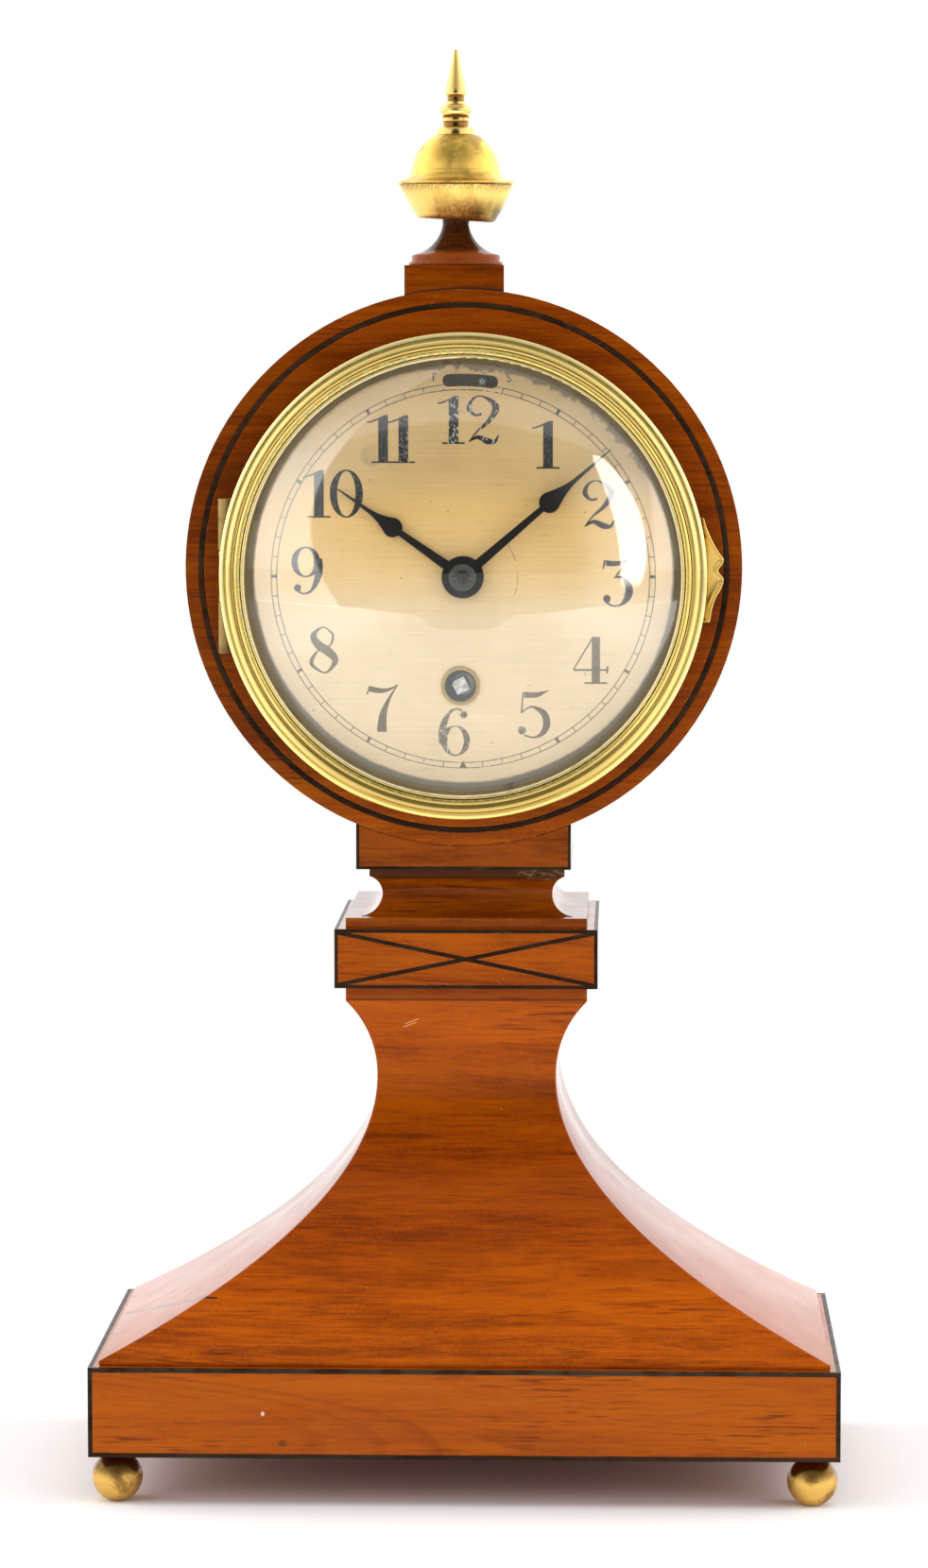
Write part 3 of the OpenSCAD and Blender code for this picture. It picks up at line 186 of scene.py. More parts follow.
def use_group(tree, group, **inputs):
    node = add(tree, "ShaderNodeGroup", inputs, node_tree=group)
    return {socket.name: Value(socket) for socket in node.outputs}


print("group helpers ready")

# %% [markdown]
# ## Effects that several finishes share
# Four effects turn up on more than one material, so each is a node group, built once.
# *grain* draws wood: broad bands of colour, fine streaks and short dark pores, all long one way.
# *softened edge* bends the shading normal near sharp edges, so an edge catches a thin line of light
# as a sanded one does, and it gives a mask of the edges for wear. *blotches* is ragged patches for
# tarnish and rubbing. *specks* is small dots for dust, pits and fly spots.

# %% Wood grain
grain, given, result = new_group("grain", {"Place": None, "Seed": 0.0, "Sway": 0.004},
                                 ("Tone", "Pores", "Height"))


def vectors(operation, a, b):
    second = "Scale" if operation == "SCALE" else 1
    return out(add(a.tree, "ShaderNodeVectorMath", {0: a, second: b}, operation=operation))


seeded = vectors("ADD", given["Place"], join(given["Seed"], given["Seed"], given["Seed"]))
slow_bends = {"Vector": stretch(seeded, (9, 30, 30)), "Scale": 1.0, "Detail": 1.0}
drift = out(add(grain, "ShaderNodeTexNoise", slow_bends), 1)
drift = vectors("SUBTRACT", drift, (0.5, 0.5, 0.5))
swayed = vectors("ADD", seeded, vectors("SCALE", drift, given["Sway"]))


def streaks(lengthwise, across, detail, roughness, move=(0, 0, 0)):
    return noise(stretch(swayed, (lengthwise, across, across), move), 1.0, detail, roughness)


bands = streaks(7, 70, 2, 0.5)
streak = streaks(24, 330, 4, 0.65)
fibres = streaks(110, 1900, 3, 0.7)
cells = noise(seeded, 1500.0, 2, 0.6)
pores = remap(streaks(110, 2300, 1, 0.5), 0.55, 0.7) * remap(streaks(16, 80, 3, 0.6, (3, 1, 2)), 0.42, 0.64)
tone = bands * 0.3 + streak * 0.34 + fibres * 0.26 + cells * 0.1
plug(result, {"Tone": remap(tone, 0.36, 0.63), "Pores": pores, "Height": streak * 0.3 - pores})
print("grain has", len(grain.nodes), "nodes")

# %% Softened edges
softened_edge, given, result = new_group("softened edge", {"Radius": 0.0004}, ("Normal", "Edge"))
rounded = out(add(softened_edge, "ShaderNodeBevel", {"Radius": given["Radius"]}, samples=6))
flat = out(add(softened_edge, "ShaderNodeNewGeometry"), "True Normal")
alike = add(softened_edge, "ShaderNodeVectorMath", {0: rounded, 1: flat}, operation="DOT_PRODUCT")
plug(result, {"Normal": rounded, "Edge": remap(out(alike, "Value"), 0.99, 0.8)})
print("softened edge has", len(softened_edge.nodes), "nodes")

# %% Blotches
blotches, given, result = new_group("blotches", {"Place": None, "Scale": 200.0, "Amount": 0.5}, ("Mask",))
patch = noise(given["Place"], given["Scale"], 5, 0.62, 0.4)
patch_low = 0.86 - given["Amount"] * 0.72
plug(result, {"Mask": remap(patch, patch_low, patch_low + 0.12)})


def blotch(here, scale, amount):
    return use_group(here.tree, blotches, Place=here, Scale=scale, Amount=amount)["Mask"]


print("blotches has", len(blotches.nodes), "nodes")

# %% Specks
specks, given, result = new_group("specks", {"Place": None, "Scale": 300.0, "Size": 0.12}, ("Mask",))
dots = add(specks, "ShaderNodeTexVoronoi", {"Vector": given["Place"], "Scale": given["Scale"]}, feature="F1")
chance = out(add(specks, "ShaderNodeSeparateColor", {0: out(dots, "Color")}))
dot = remap(out(dots, "Distance"), given["Size"], given["Size"] * 0.5)
plug(result, {"Mask": dot * remap(chance, 0.7, 0.72)})


def speck(here, scale, size):
    return use_group(here.tree, specks, Place=here, Scale=scale, Size=size)["Mask"]


print("shared effects:", [g.name for g in bpy.data.node_groups])

# %% [markdown]
# ## The wood
# The case is a warm orange brown wood under French polish: many thin coats of shellac, which is why
# its flanks mirror the white studio at a low angle. The colour sits in the base, and the polish is
# the shader's coat. Grain runs from side to side on the front. On the flanks, the veneer was cut to
# run from front to back, so the material swaps the two directions where a face looks sideways. Round
# the drum's rim the grain is wrapped by its angle. `paint` lays tints over a colour, one mask at a
# time, as a restorer would.

# %% Materials and colours
def new_material(name, **plain):
    material = bpy.data.materials.new(name)
    material.use_nodes = True
    shader = material.node_tree.nodes["Principled BSDF"]
    plug(shader, plain)
    return material, material.node_tree, shader


def place(tree):
    return out(add(tree, "ShaderNodeTexCoord"), "Object")


def rgba(colour):
    return colour if isinstance(colour, Value) else (*colour, 1)


def blend(factor, a, b, mode="MIX"):
    inputs = {0: factor, 6: rgba(a), 7: rgba(b)}
    return out(add(tree_of(factor, a, b), "ShaderNodeMix", inputs, data_type="RGBA", blend_type=mode), 2)


def paint(colour, layers):
    for mask, tint in layers:
        colour = blend(mask, colour, tint)
    return colour


def ramp(value, stops):
    node = add(value.tree, "ShaderNodeValToRGB", {"Fac": value})
    while len(node.color_ramp.elements) < len(stops):
        node.color_ramp.elements.new(0.5)
    for element, (position, colour) in zip(node.color_ramp.elements, stops):
        element.position = position
        element.color = (*colour, 1)
    return out(node)


def raised(height, strength, distance, normal=None, invert=False):
    inputs = {"Strength": strength, "Distance": distance, "Height": height}
    if normal:
        inputs["Normal"] = normal
    return out(add(height.tree, "ShaderNodeBump", inputs, invert=invert))


print("material helpers ready")

# %% Veneers
DRUM_X = -0.0005
DRUM_Z = 0.18795
DRUM_RADIUS = 0.0558


def parts(vector):
    node = add(vector.tree, "ShaderNodeSeparateXYZ", {0: vector})
    return [out(node, k) for k in range(3)]


def facing(tree):
    return parts(out(add(tree, "ShaderNodeNewGeometry"), "True Normal"))


def either(mask, a, b):
    return out(add(mask.tree, "ShaderNodeMix", {0: mask, 4: a, 5: b}, data_type="VECTOR"), 1)


def along_veneer(here):
    normal = facing(here.tree)
    x, y, z = parts(here)
    return either(abs(normal[0]) > abs(normal[1]), here, join(y, x, z))


def round_veneer(here):
    x, y, z = parts(here)
    round_by = sums("ARCTAN2", x - DRUM_X, z - DRUM_Z) * DRUM_RADIUS
    rim = abs(facing(here.tree)[1]) < 0.5
    return either(rim, here, join(round_by, y, 0.3))


print("two ways to lay veneer")

# %% Wood
def wood(name, seed, colours, veneer=along_veneer, wear=0.5, marks=None):
    material, tree, shader = new_material(name, Coat_Roughness=0.1, Coat_IOR=1.21, Specular_IOR_Level=0.0)
    here = place(tree)
    g = use_group(tree, grain, Place=veneer(here), Seed=seed, Sway=0.004)
    edge = use_group(tree, softened_edge, Radius=0.0006)
    smoke = blotch(stretch(here, (0.5, 1.4, 1.4)), 60.0, 0.42)
    # Painted sheen: on faces that look sideways the grain is blended to the middle tone, standing in for the
    # glare that hides it.
    glare_flattened_flank = remap(abs(facing(tree)[0]), 0.3, 0.5, 0.0, 0.75)
    worn = edge["Edge"] * blotch(here, 420.0, 0.45) * wear
    colour = paint(ramp(g["Tone"], list(zip((0.0, 0.45, 1.0), colours))), (
        (g["Pores"] * 0.7, (0.07, 0.012, 0.003)),
        (smoke * 0.3, (0.14, 0.024, 0.001)),
        (glare_flattened_flank, colours[1]),
        (worn, (0.5, 0.2, 0.05)),
        (speck(here, 260.0, 0.05) * 0.35, (0.7, 0.4, 0.2))))
    if marks:
        colour = marks(here, colour)
    dull = noise(here, 90.0, 4, 0.6)
    plug(shader, {"Base Color": colour,
                  "Roughness": remap(dull, 0.3, 0.75, 0.38, 0.56),
                  "Coat Weight": remap(dull, 0.2, 0.9, 0.95, 0.7),
                  "Normal": raised(g["Height"], 0.18, 0.00012, edge["Normal"])})
    return material


print("wood helper ready")

# %% [markdown]
# ## Marks on the wood
# Each board has its own history: three faint growth rings and a drop of wax on the plinth, a crack and two
# scratches on the pedestal, a chipped fillet on the moulding. Some boards also carry painted light: the drum
# is painted lighter low down and darker at its left, and the pedestal lighter at its foot and top and darker
# in the middle, with painted shade along its top fillet under the block. `near` is a mask of a line,
# `between` of a band, and `dab` of a soft oval on the front, which is a node group because the dial uses it
# too. The marks are laid over the grain by place, because they sit in one spot and noise would scatter them.

# %% Lines and bands
def larger(a, b):
    return sums("MAXIMUM", a, b)


def square(value):
    return value * value


def far(a, b):
    return sums("SQRT", square(a) + square(b))


def near(value, at, edge, full):
    return remap(abs(value - at), edge, full)


def between(value, start, full, fade, end):
    return remap(value, start, full) * remap(value, end, fade)


print("lines and bands ready")

# %% Dabs
FRONT_Y = -0.015
oval_inputs = {"Place": None, "X": 0.0, "Z": 0.0, "Wide": MM, "High": MM}
oval, given, result = new_group("dab", oval_inputs, ("Mask",))
x, y, z = parts(given["Place"])
aside = (x - given["X"]) / given["Wide"]
above = (z - given["Z"]) / given["High"]
plug(result, {"Mask": remap(square(aside) + square(above), 1.0, 0.5) * (y < FRONT_Y)})


def dab(here, x, z, wide, high):
    sizes = {"X": x * MM, "Z": z * MM, "Wide": wide * MM, "High": high * MM}
    return use_group(here.tree, oval, Place=here, **sizes)["Mask"]


print("dab has", len(oval.nodes), "nodes")

# %% Plinth marks and the drum's painted light
def plinth_marks(here, colour):
    x, y, z = parts(here)
    bow = (larger(z - 0.0105, 0.0) / 0.012) ** 2.5 * 0.027
    waver = (noise(here, 160.0, 2) - 0.5) * 0.004
    for tip, strength in ((-4.5, 0.42), (-15.0, 0.26), (-27.0, 0.2)):
        inside = tip * MM - bow - (x + waver)
        ring = between(inside, -0.0003, 0.0003, 0.0003, 0.007) * (y < -0.04)
        colour = blend(ring * strength, colour, (0.22, 0.036, 0.001))
    return paint(colour, (
        (dab(here, -40.3, 18.9, 0.42, 0.5), (0.7, 0.55, 0.4)),
        (dab(here, -36.3, 12.9, 1.0, 0.8) * 0.6, (0.1, 0.03, 0.01))))


def drum_painted_light(here, colour):
    x, _, z = parts(here)
    # Painted light: the drum's lower part is painted lighter, and its left side is painted darker as painted
    # shade.
    colour = blend(remap(z, 0.15, 0.137), colour, blend(1.0, colour, (1.5, 1.7, 1), "MULTIPLY"))
    left = ramp(remap(x, -0.015, -0.05), [(0.0, (1.0, 0.94, 1.0)), (1.0, (0.84, 0.84, 1.0))])
    return blend(1.0, colour, left, "MULTIPLY")


print("marks for the plinth and the drum")

# %% Pedestal marks and painted shade
def pedestal_marks_and_painted_shade(here, colour):
    x, y, z = parts(here)
    # Painted shading: the pedestal is lighter at its foot and top and darker in the middle. Painted shade
    # under the block makes a dark line at the foot of its top fillet and darkens the fillet above it.
    tints = ((0.0, (1.2, 1.2, 1)), (0.16, (1.0, 0.92, 1)), (0.5, (0.72, 0.61, 1)),
             (0.78, (0.82, 0.8, 1)), (0.95, (1.2, 1.15, 1)))
    painted_shading_by_height = ramp(remap(z, 0.028, 0.103), tints)
    colour = paint(blend(1.0, colour, painted_shading_by_height, "MULTIPLY"), (
        (near(z, 0.1005, 0.0004, 0.00015) * 0.7, (0.07, 0.02, 0.006)),
        (remap(z, 0.1006, 0.1009, 0.0, 0.4), (0.16, 0.034, 0.004))))
    for at_x, at_z in ((-11.5, 95.2), (-11.0, 95.9)):
        slope = (z - at_z * MM) - (x - at_x * MM) * 0.38
        scratch = near(slope, 0.0, 0.00014, 0.00005) * dab(here, at_x, at_z, 1.8, 1.2)
        colour = blend(scratch, colour, (0.7, 0.36, 0.16))
    ragged = (noise(here, 350.0, 2) - 0.5) * 0.0012
    crack = near((z - 0.029) - (0.009 - y) * 0.279 + ragged, 0.0, 0.0003, 0.00012)
    return blend(crack * (x < -0.05) * (y < 0.012), colour, (0.04, 0.015, 0.008))


print("marks for the pedestal")

# %% Moulding and socle marks
def moulding_marks(here, colour):
    x, _, z = parts(here)
    fillet = remap(z, 0.1243, 0.1246) * (z < 0.14)
    chips = blotch(stretch(here, (0.45, 1, 1)), 1500.0, 0.52) * dab(here, 15.5, 125.6, 6.0, 1.5)
    glue = remap(far(x - DRUM_X, z - DRUM_Z), 0.05645, 0.0562) * (z > 0.2)
    return paint(colour, (
        (fillet * 0.8, (0.06, 0.022, 0.008)),
        (chips * 0.7, (0.24, 0.16, 0.1)),
        (glue * 0.85, (0.06, 0.042, 0.03))))


def socle_marks(here, colour):
    z = parts(here)[2]
    return blend(remap(z, 0.2522, 0.2508), colour, blend(0.6, colour, (0.36, 0.075, 0.008)))


print("marks for the moulding and the socle")

# %% Wood materials
honey = ((0.3, 0.054, 0.001), (0.39, 0.076, 0.001), (0.45, 0.1, 0.002))
russet = ((0.16, 0.027, 0.001), (0.31, 0.057, 0.001), (0.42, 0.088, 0.001))
chestnut = ((0.13, 0.024, 0.001), (0.22, 0.042, 0.001), (0.3, 0.066, 0.001))
walnut = ((0.08, 0.014, 0.001), (0.21, 0.041, 0.002), (0.31, 0.067, 0.003))
amber = ((0.14, 0.026, 0.001), (0.25, 0.049, 0.001), (0.35, 0.08, 0.001))
umber = ((0.02, 0.006, 0.002), (0.05, 0.012, 0.003), (0.14, 0.03, 0.005))
pedestal_wood = wood("pedestal_wood", 0.0, russet, marks=pedestal_marks_and_painted_shade)
plinth_wood = wood("plinth_wood", 3.1, honey, marks=plinth_marks)
drum_wood = wood("drum_wood", 5.7, chestnut, veneer=round_veneer, marks=drum_painted_light)
block_wood = wood("block_wood", 8.3, russet)
saddle_wood = wood("saddle_wood", 9.4, walnut)
moulding_wood = wood("moulding_wood", 11.9, amber, marks=moulding_marks)
socle_wood = wood("socle_wood", 14.2, umber, wear=0.8, marks=socle_marks)
print("woods:", [m.name for m in bpy.data.materials if "wood" in m.name])

# %% [markdown]
# ## Ebony lines
# Thin dark lines are let into every edge. Ebony is nearly black, and here it has gone grey where
# dusters have caught it for a century, most of all on the plinth's upper edge.

# %% Ebony
def ebony(name, rubbed, worn_above=None):
    material, tree, shader = new_material(name, Coat_Roughness=0.25, Coat_IOR=1.2, Specular_IOR_Level=0.02)
    here = place(tree)
    g = use_group(tree, grain, Place=here, Seed=20.0, Sway=0.002)
    edge = use_group(tree, softened_edge, Radius=0.0004)
    worn = blotch(stretch(here, (0.5, 1, 1)), 330.0, rubbed) * remap(edge["Edge"], 0.0, 1.0, 0.25, 1.0)
    if worn_above:
        worn = worn * remap(parts(here)[2], worn_above - 0.002, worn_above, 0.2, 1.0)
    colour = ramp(g["Tone"], [(0.0, (0.012, 0.006, 0.003)), (1.0, (0.045, 0.024, 0.012))])
    plug(shader, {"Base Color": blend(worn * 0.65, colour, (0.12, 0.1, 0.065)),
                  "Roughness": remap(worn, 0.0, 1.0, 0.36, 0.7),
                  "Coat Weight": remap(worn, 0.0, 1.0, 0.25, 0.0),
                  "Normal": raised(worn, 0.25, 0.0001, edge["Normal"], invert=True)})
    return material


ebony_plinth = ebony("ebony_plinth", 0.6, worn_above=0.027)
ebony_line = ebony("ebony_line", 0.4)
print("ebony ready")

# %% [markdown]
# ## The metals
# Brass keeps its colour inside the metal, so it is metallic with a yellow base. Handled brass is clean, and
# brass out of reach turns brown in spots. Steel for the pinions, the hub and the winding square is greyer and
# a little brushed. Some pieces have marks of their own: dirt in the spire's grooves and olive tarnish on the
# cup. Others carry painted light: painted shade under the cup's brim, broken into fine hair lines, ragged at
# its lower right and at its foot; painted shade on the tops of the feet and on the arbor's shoulder in the
# winding hole; a painted glint on the regulator pin; and the winding square's end, which is filed steel
# painted pale as a highlight.

# %% Brass
def brass(name, colour, dark, rough, spots, lines=(400, 400, 400), metallic=1.0, marks=None):
    material, tree, shader = new_material(name, Metallic=metallic)
    here = place(tree)
    stain = larger(blotch(here, 130.0, spots) * 0.75, speck(here, 900.0, 0.16) * spots)
    base = blend(remap(noise(here, 60.0, 3, 0.5), 0.3, 0.7), colour, tuple(c * 0.86 for c in colour))
    base = blend(stain, base, dark)
    fine = noise(stretch(here, lines), 1.0, 3, 0.6)
    edge = use_group(tree, softened_edge, Radius=0.00025)
    plug(shader, {"Base Color": base,
                  "Roughness": remap(fine, 0.3, 0.7, rough * 0.8, rough * 1.25) + stain * 0.22,
                  "Normal": raised(fine, 0.12, 0.00005, edge["Normal"])})
    if marks:
        plug(shader, marks(here, base))
    return material


print("brass helper ready")

# %% Finial marks and the cup's painted shade
def groove_marks(here, base):
    z = parts(here)[2]
    grooves = 0.0
    for at, half in ((0.27742, 0.0007), (0.27887, 0.0003), (0.28265, 0.0008)):
        grooves = larger(grooves, near(z, at, half, half * 0.6))
    return {"Base Color": blend(grooves * 0.88, base, (0.17, 0.075, 0.01))}


def cup_marks_and_painted_shade(here, base):
    x, _, z = parts(here)
    hairs = noise(stretch(here, (3600, 3600, 60)), 1.0, 2, 0.6)
    # Painted shade under the brim (broken into hair lines), at the lower right (ragged) and at the cup's
    # lower rim. The olive blotches are tarnish.
    painted_shade_under_brim = remap(z, 0.2628, 0.2653) * remap(hairs, 0.36, 0.52)
    ragged_blotches = remap(blotch(here, 170.0, 0.6), 0.0, 1.0, 0.65, 1.0)
    painted_shade_low_right = remap(x, -0.005, 0.004) * remap(z, 0.2632, 0.2592) * ragged_blotches
    painted_shade_low_rim = remap(z, 0.2592, 0.2582)
    dark = larger(painted_shade_under_brim * 0.75, larger(painted_shade_low_right, painted_shade_low_rim * 0.5))
    olive = blotch(stretch(here, (1, 1, 0.5)), 210.0, 0.47)
    return {"Base Color": paint(base, ((olive * 0.4, (0.5, 0.34, 0.06)), (dark, (0.18, 0.12, 0.026))))}


print("marks for the spire and the cup")

# %% Painted shade on the feet, movement marks and painted light
def foot_painted_shade(here, base):
    # Painted shade: the top of each foot, under the plinth, is darkened.
    painted_shade_under_plinth = remap(parts(here)[2], 0.0045, 0.0072)
    return {"Base Color": blend(painted_shade_under_plinth * 0.9, base, (0.1, 0.05, 0.014))}


def arbor_marks(here, base):
    pivot = parts(here)[1] < -0.0265
    return {"Base Color": blend(pivot, base, (0.12, 0.11, 0.1))}


WINDING_SQUARE = (-0.0005, 0.16465)
REGULATOR_PIN = (0.00328, 0.22525)


def steel_marks_and_painted_light(here, base):
    x, y, z = parts(here)
    from_square = far(x - WINDING_SQUARE[0], z - WINDING_SQUARE[1])
    # Painted light: the arbor's shoulder in the winding hole is painted shade, and the regulator pin is a
    # painted glint, near white with a dark centre. The winding square's end is filed steel, painted pale as a
    # highlight.
    shoulder = remap(from_square, 0.00205, 0.00215) * (y < -0.02) * (from_square < 0.0045)
    square_end = (from_square < 0.00205) * (y < -0.026)
    from_pin = far(x - REGULATOR_PIN[0], z - REGULATOR_PIN[1])
    pin = (from_pin < 0.0012) * (y < -0.027)
    filed = remap(noise(stretch(here, (900, 900, 1400)), 1.0, 3, 0.6), 0.35, 0.65)
    colour = paint(base, (
        (shoulder, (0.015, 0.012, 0.01)),
        (pin, (0.95, 0.94, 0.9)),
        (pin * remap(from_pin, 0.00034, 0.00022), (0.03, 0.025, 0.02)),
        (square_end, blend(filed, (0.34, 0.32, 0.29), (0.8, 0.78, 0.74)))))
    return {"Base Color": colour, "Metallic": remap(larger(pin, square_end), 0.0, 1.0, 1.0, 0.2)}


print("marks for the feet, the arbor and the steel")

# %% Metal materials
train_yellow = (0.64, 0.44, 0.14)
train_brown = (0.34, 0.21, 0.06)
train_lines = (900, 900, 60)
steel_lines = (900, 900, 900)
polished_brass = brass("polished_brass", (0.74, 0.5, 0.14), (0.36, 0.2, 0.04), 0.13, 0.2)
spire_brass = brass("spire_brass", (0.82, 0.57, 0.19), (0.36, 0.2, 0.04), 0.15, 0.3, marks=groove_marks)
satin_brass = brass("satin_brass", (0.85, 0.54, 0.11), (0.36, 0.24, 0.05), 0.25, 0.5)
spun_brass = brass("spun_brass", (0.97, 0.68, 0.19), (0.42, 0.24, 0.05), 0.36, 0.34, (2600, 2600, 60),
                   marks=cup_marks_and_painted_shade)
spotted_brass = brass("spotted_brass", (0.86, 0.53, 0.13), (0.24, 0.12, 0.03), 0.3, 0.5, marks=foot_painted_shade)
door_brass = brass("door_brass", (0.4, 0.262, 0.075), (0.22, 0.13, 0.035), 0.34, 0.36, (40, 40, 2600))
movement_brass = brass("movement_brass", train_yellow, train_brown, 0.3, 0.25, train_lines)
arbor_brass = brass("arbor_brass", train_yellow, train_brown, 0.3, 0.25, train_lines, marks=arbor_marks)
# A darker, hardly metallic copy of brass, used as painted shade for the hinge pin, glass retainer, dial ring
# and front plate, which lie in shade.
shaded_brass = brass("shaded_brass", (0.34, 0.23, 0.07), (0.14, 0.09, 0.03), 0.5, 0.4, metallic=0.3)
steel = brass("steel", (0.5, 0.49, 0.47), (0.12, 0.11, 0.1), 0.34, 0.4, steel_lines, marks=steel_marks_and_painted_light)
hub_steel = brass("hub_steel", (0.2, 0.195, 0.18), (0.06, 0.055, 0.05), 0.4, 0.4, steel_lines)
blued_black = brass("blued_black", (0.009, 0.006, 0.004), (0.03, 0.018, 0.01), 0.4, 0.3, metallic=0.35)
print("metals:", [m.name for m in bpy.data.materials if "brass" in m.name or "steel" in m.name])

# %% [markdown]
# ## The bezel's own brass
# The bezel is polished on its beads, but polish and damp collect where the inner lip meets the glass, and dry
# there as a dull green crust, most at the left and the bottom. Masks made from the distance to the dial's
# centre put each tint on its own ring. Olive tarnish lies in the hollow between the two rounds, and an orange
# band lies on the inner slope of the second round. Pale bands on the crowns of the two rounds are painted
# highlights, weaker at the bottom. The lower inner slope and the thin lines between the rounds are painted
# shade. So are the wall inside the lip and the hinge, which are brown and darker towards the bottom; the wall
# is hardly metallic. A thin pale, dull ring runs round the inner edge of the lip.

# %% Bezel brass
HUB = (-0.5, 186.45)


def from_hub(here):
    x, y, z = parts(here)
    across = x - HUB[0] * MM
    up = z - HUB[1] * MM
    return across, up, y, far(across, up)


def bezel_marks_and_painted_light(here, base):
    across, up, y, radius = from_hub(here)
    high_left = remap(up * 0.8 - across, 0.008, 0.045)
    low = remap(up, -0.02, -0.042, 0.25, 0.6)
    lip = between(radius, 0.0441, 0.0443, 0.0451, 0.0456)
    crust = lip * blotch(here, 1100.0, 0.56) * larger(high_left, low)
    painted_light_by_height = remap(up, -0.02, -0.042, 1.0, 0.2)
    # Painted shade on the lower inner slope and in the creases between the rounds; a thin pale, dull ring at
    # the inner edge of the lip.
    painted_shade_low_inner = remap(radius, 0.0475, 0.0469) * remap(up, -0.024, -0.04)
    painted_crease_shade = larger(near(radius, 0.04572, 0.00016, 0.000064), near(radius, 0.04446, 0.00014, 0.000056))
    pale_lip_ring = between(radius, 0.04356, 0.0436, 0.04384, 0.04392)
    pale_lip_ring = pale_lip_ring * remap(noise(here, 260.0, 3), 0.3, 0.5, 0.6, 1.0)
    # The wall inside the lip and the hinge are painted shade, brown and darker towards the bottom.
    wall = remap(radius, 0.0452, 0.045) * (y > -0.0328)
    hinge = across < -0.04885
    brown = blend(remap(up, -0.012, -0.034), (0.45, 0.31, 0.1), (0.12, 0.085, 0.035))
    # The pale bands on the crowns of the two rounds are painted highlights, weaker towards the bottom.
    colour = paint(base, (
        (crust * 0.7, (0.36, 0.37, 0.2)),
        (near(radius, 0.0476, 0.0004, 0.0001) * 0.55, (0.36, 0.27, 0.05)),
        (between(radius, 0.0458, 0.046, 0.0461, 0.0465) * 0.45, (0.75, 0.38, 0.08)),
        (painted_shade_low_inner * 0.6, (0.34, 0.25, 0.06)),
        (remap(radius, 0.0477, 0.0479) * painted_light_by_height * 0.8, (1.0, 0.84, 0.38)),
        (between(radius, 0.0464, 0.0467, 0.0471, 0.0473) * painted_light_by_height * 0.6, (1.0, 0.79, 0.3)),
        (painted_crease_shade * 0.9, (0.07, 0.05, 0.015)),
        (pale_lip_ring, (0.8, 0.76, 0.58)),
        (larger(wall, hinge * 0.8), brown)))
    dull = larger(larger(crust, pale_lip_ring), wall)
    return {"Base Color": colour, "Metallic": 1.0 - dull * 0.85}


bezel_brass = brass("bezel_brass", (1.0, 0.74, 0.21), (0.45, 0.28, 0.06), 0.22, 0.16, marks=bezel_marks_and_painted_light)
print("bezel brass has", len(bezel_brass.node_tree.nodes), "nodes")

# %% [markdown]
# ## The glass
# The glass is domed. It is a plain clear dielectric: full transmission and the index of window glass.
# Shadow rays pass straight through, which a thin pane nearly does, and that keeps the dial free of
# noise. The mix by Light Path stays in the material.

# %% Glass
glass, tree, shader = new_material("glass", Base_Color=(0.97, 0.985, 0.975, 1), IOR=1.52,
                                   Transmission_Weight=1.0)
clear = add(tree, "ShaderNodeBsdfTransparent", {"Color": (0.97, 0.98, 0.975, 1)})
path = add(tree, "ShaderNodeLightPath")
straight = larger(out(path, "Is Shadow Ray"), out(path, "Is Diffuse Ray"))
mixed = add(tree, "ShaderNodeMixShader", {0: straight, 1: out(shader), 2: out(clear)})
plug(tree.nodes["Material Output"], {"Surface": out(mixed)})
plug(shader, {"Roughness": blotch(place(tree), 90.0, 0.5) * 0.02})
print("glass ready")

# %% [markdown]
# ## The dial's finish
# The dial is brass with a pale silvered skin under lacquer, brushed from side to side, and gone the colour of
# champagne. It is painted lighter and bluer towards the bottom as painted light, and its outer edge is
# darkened all round as painted shade under the bezel's lip. It is darkest where damp came in along its upper
# edge. Polar masks about the hub put the shade and the stain there, and the worn arc that a slack hand once
# drew. The figures are filled with black wax, which has crumbled grey. Towards the bottom the figures are
# painted lighter, warmer and greyer as painted light, and glints are painted where the wax has wrinkled.

# %% Dial material
dial_skin, tree, shader = new_material("dial_skin", Specular_IOR_Level=0.4)
here = place(tree)
across, up, _, radius = from_hub(here)
angle = sums("ARCTAN2", across, up)
brushed = noise(stretch(here, (60, 60, 5200)), 1.0, 4, 0.65)
cloud = noise(here, 55.0, 4, 0.55)
tone = brushed * 0.45 + cloud * 0.55
champagne = ramp(tone, [(0.3, (0.47, 0.32, 0.14)), (0.5, (0.55, 0.38, 0.17)), (0.7, (0.62, 0.44, 0.21))])
# Painted light: the dial is painted lighter and bluer towards the bottom.
painted_light_by_height = ramp(remap(up, 0.03, -0.03), [(0.06, (1.03, 0.98, 0.9)), (0.2, (1.34, 1.21, 0.94)),
                                      (0.5, (1.42, 1.38, 1.36)), (0.72, (1.36, 1.48, 2.02))])
top = near(angle, 0.42, 0.9, 0.4)
ragged = (noise(here, 420.0, 4, 0.65) - 0.5) * 0.0052
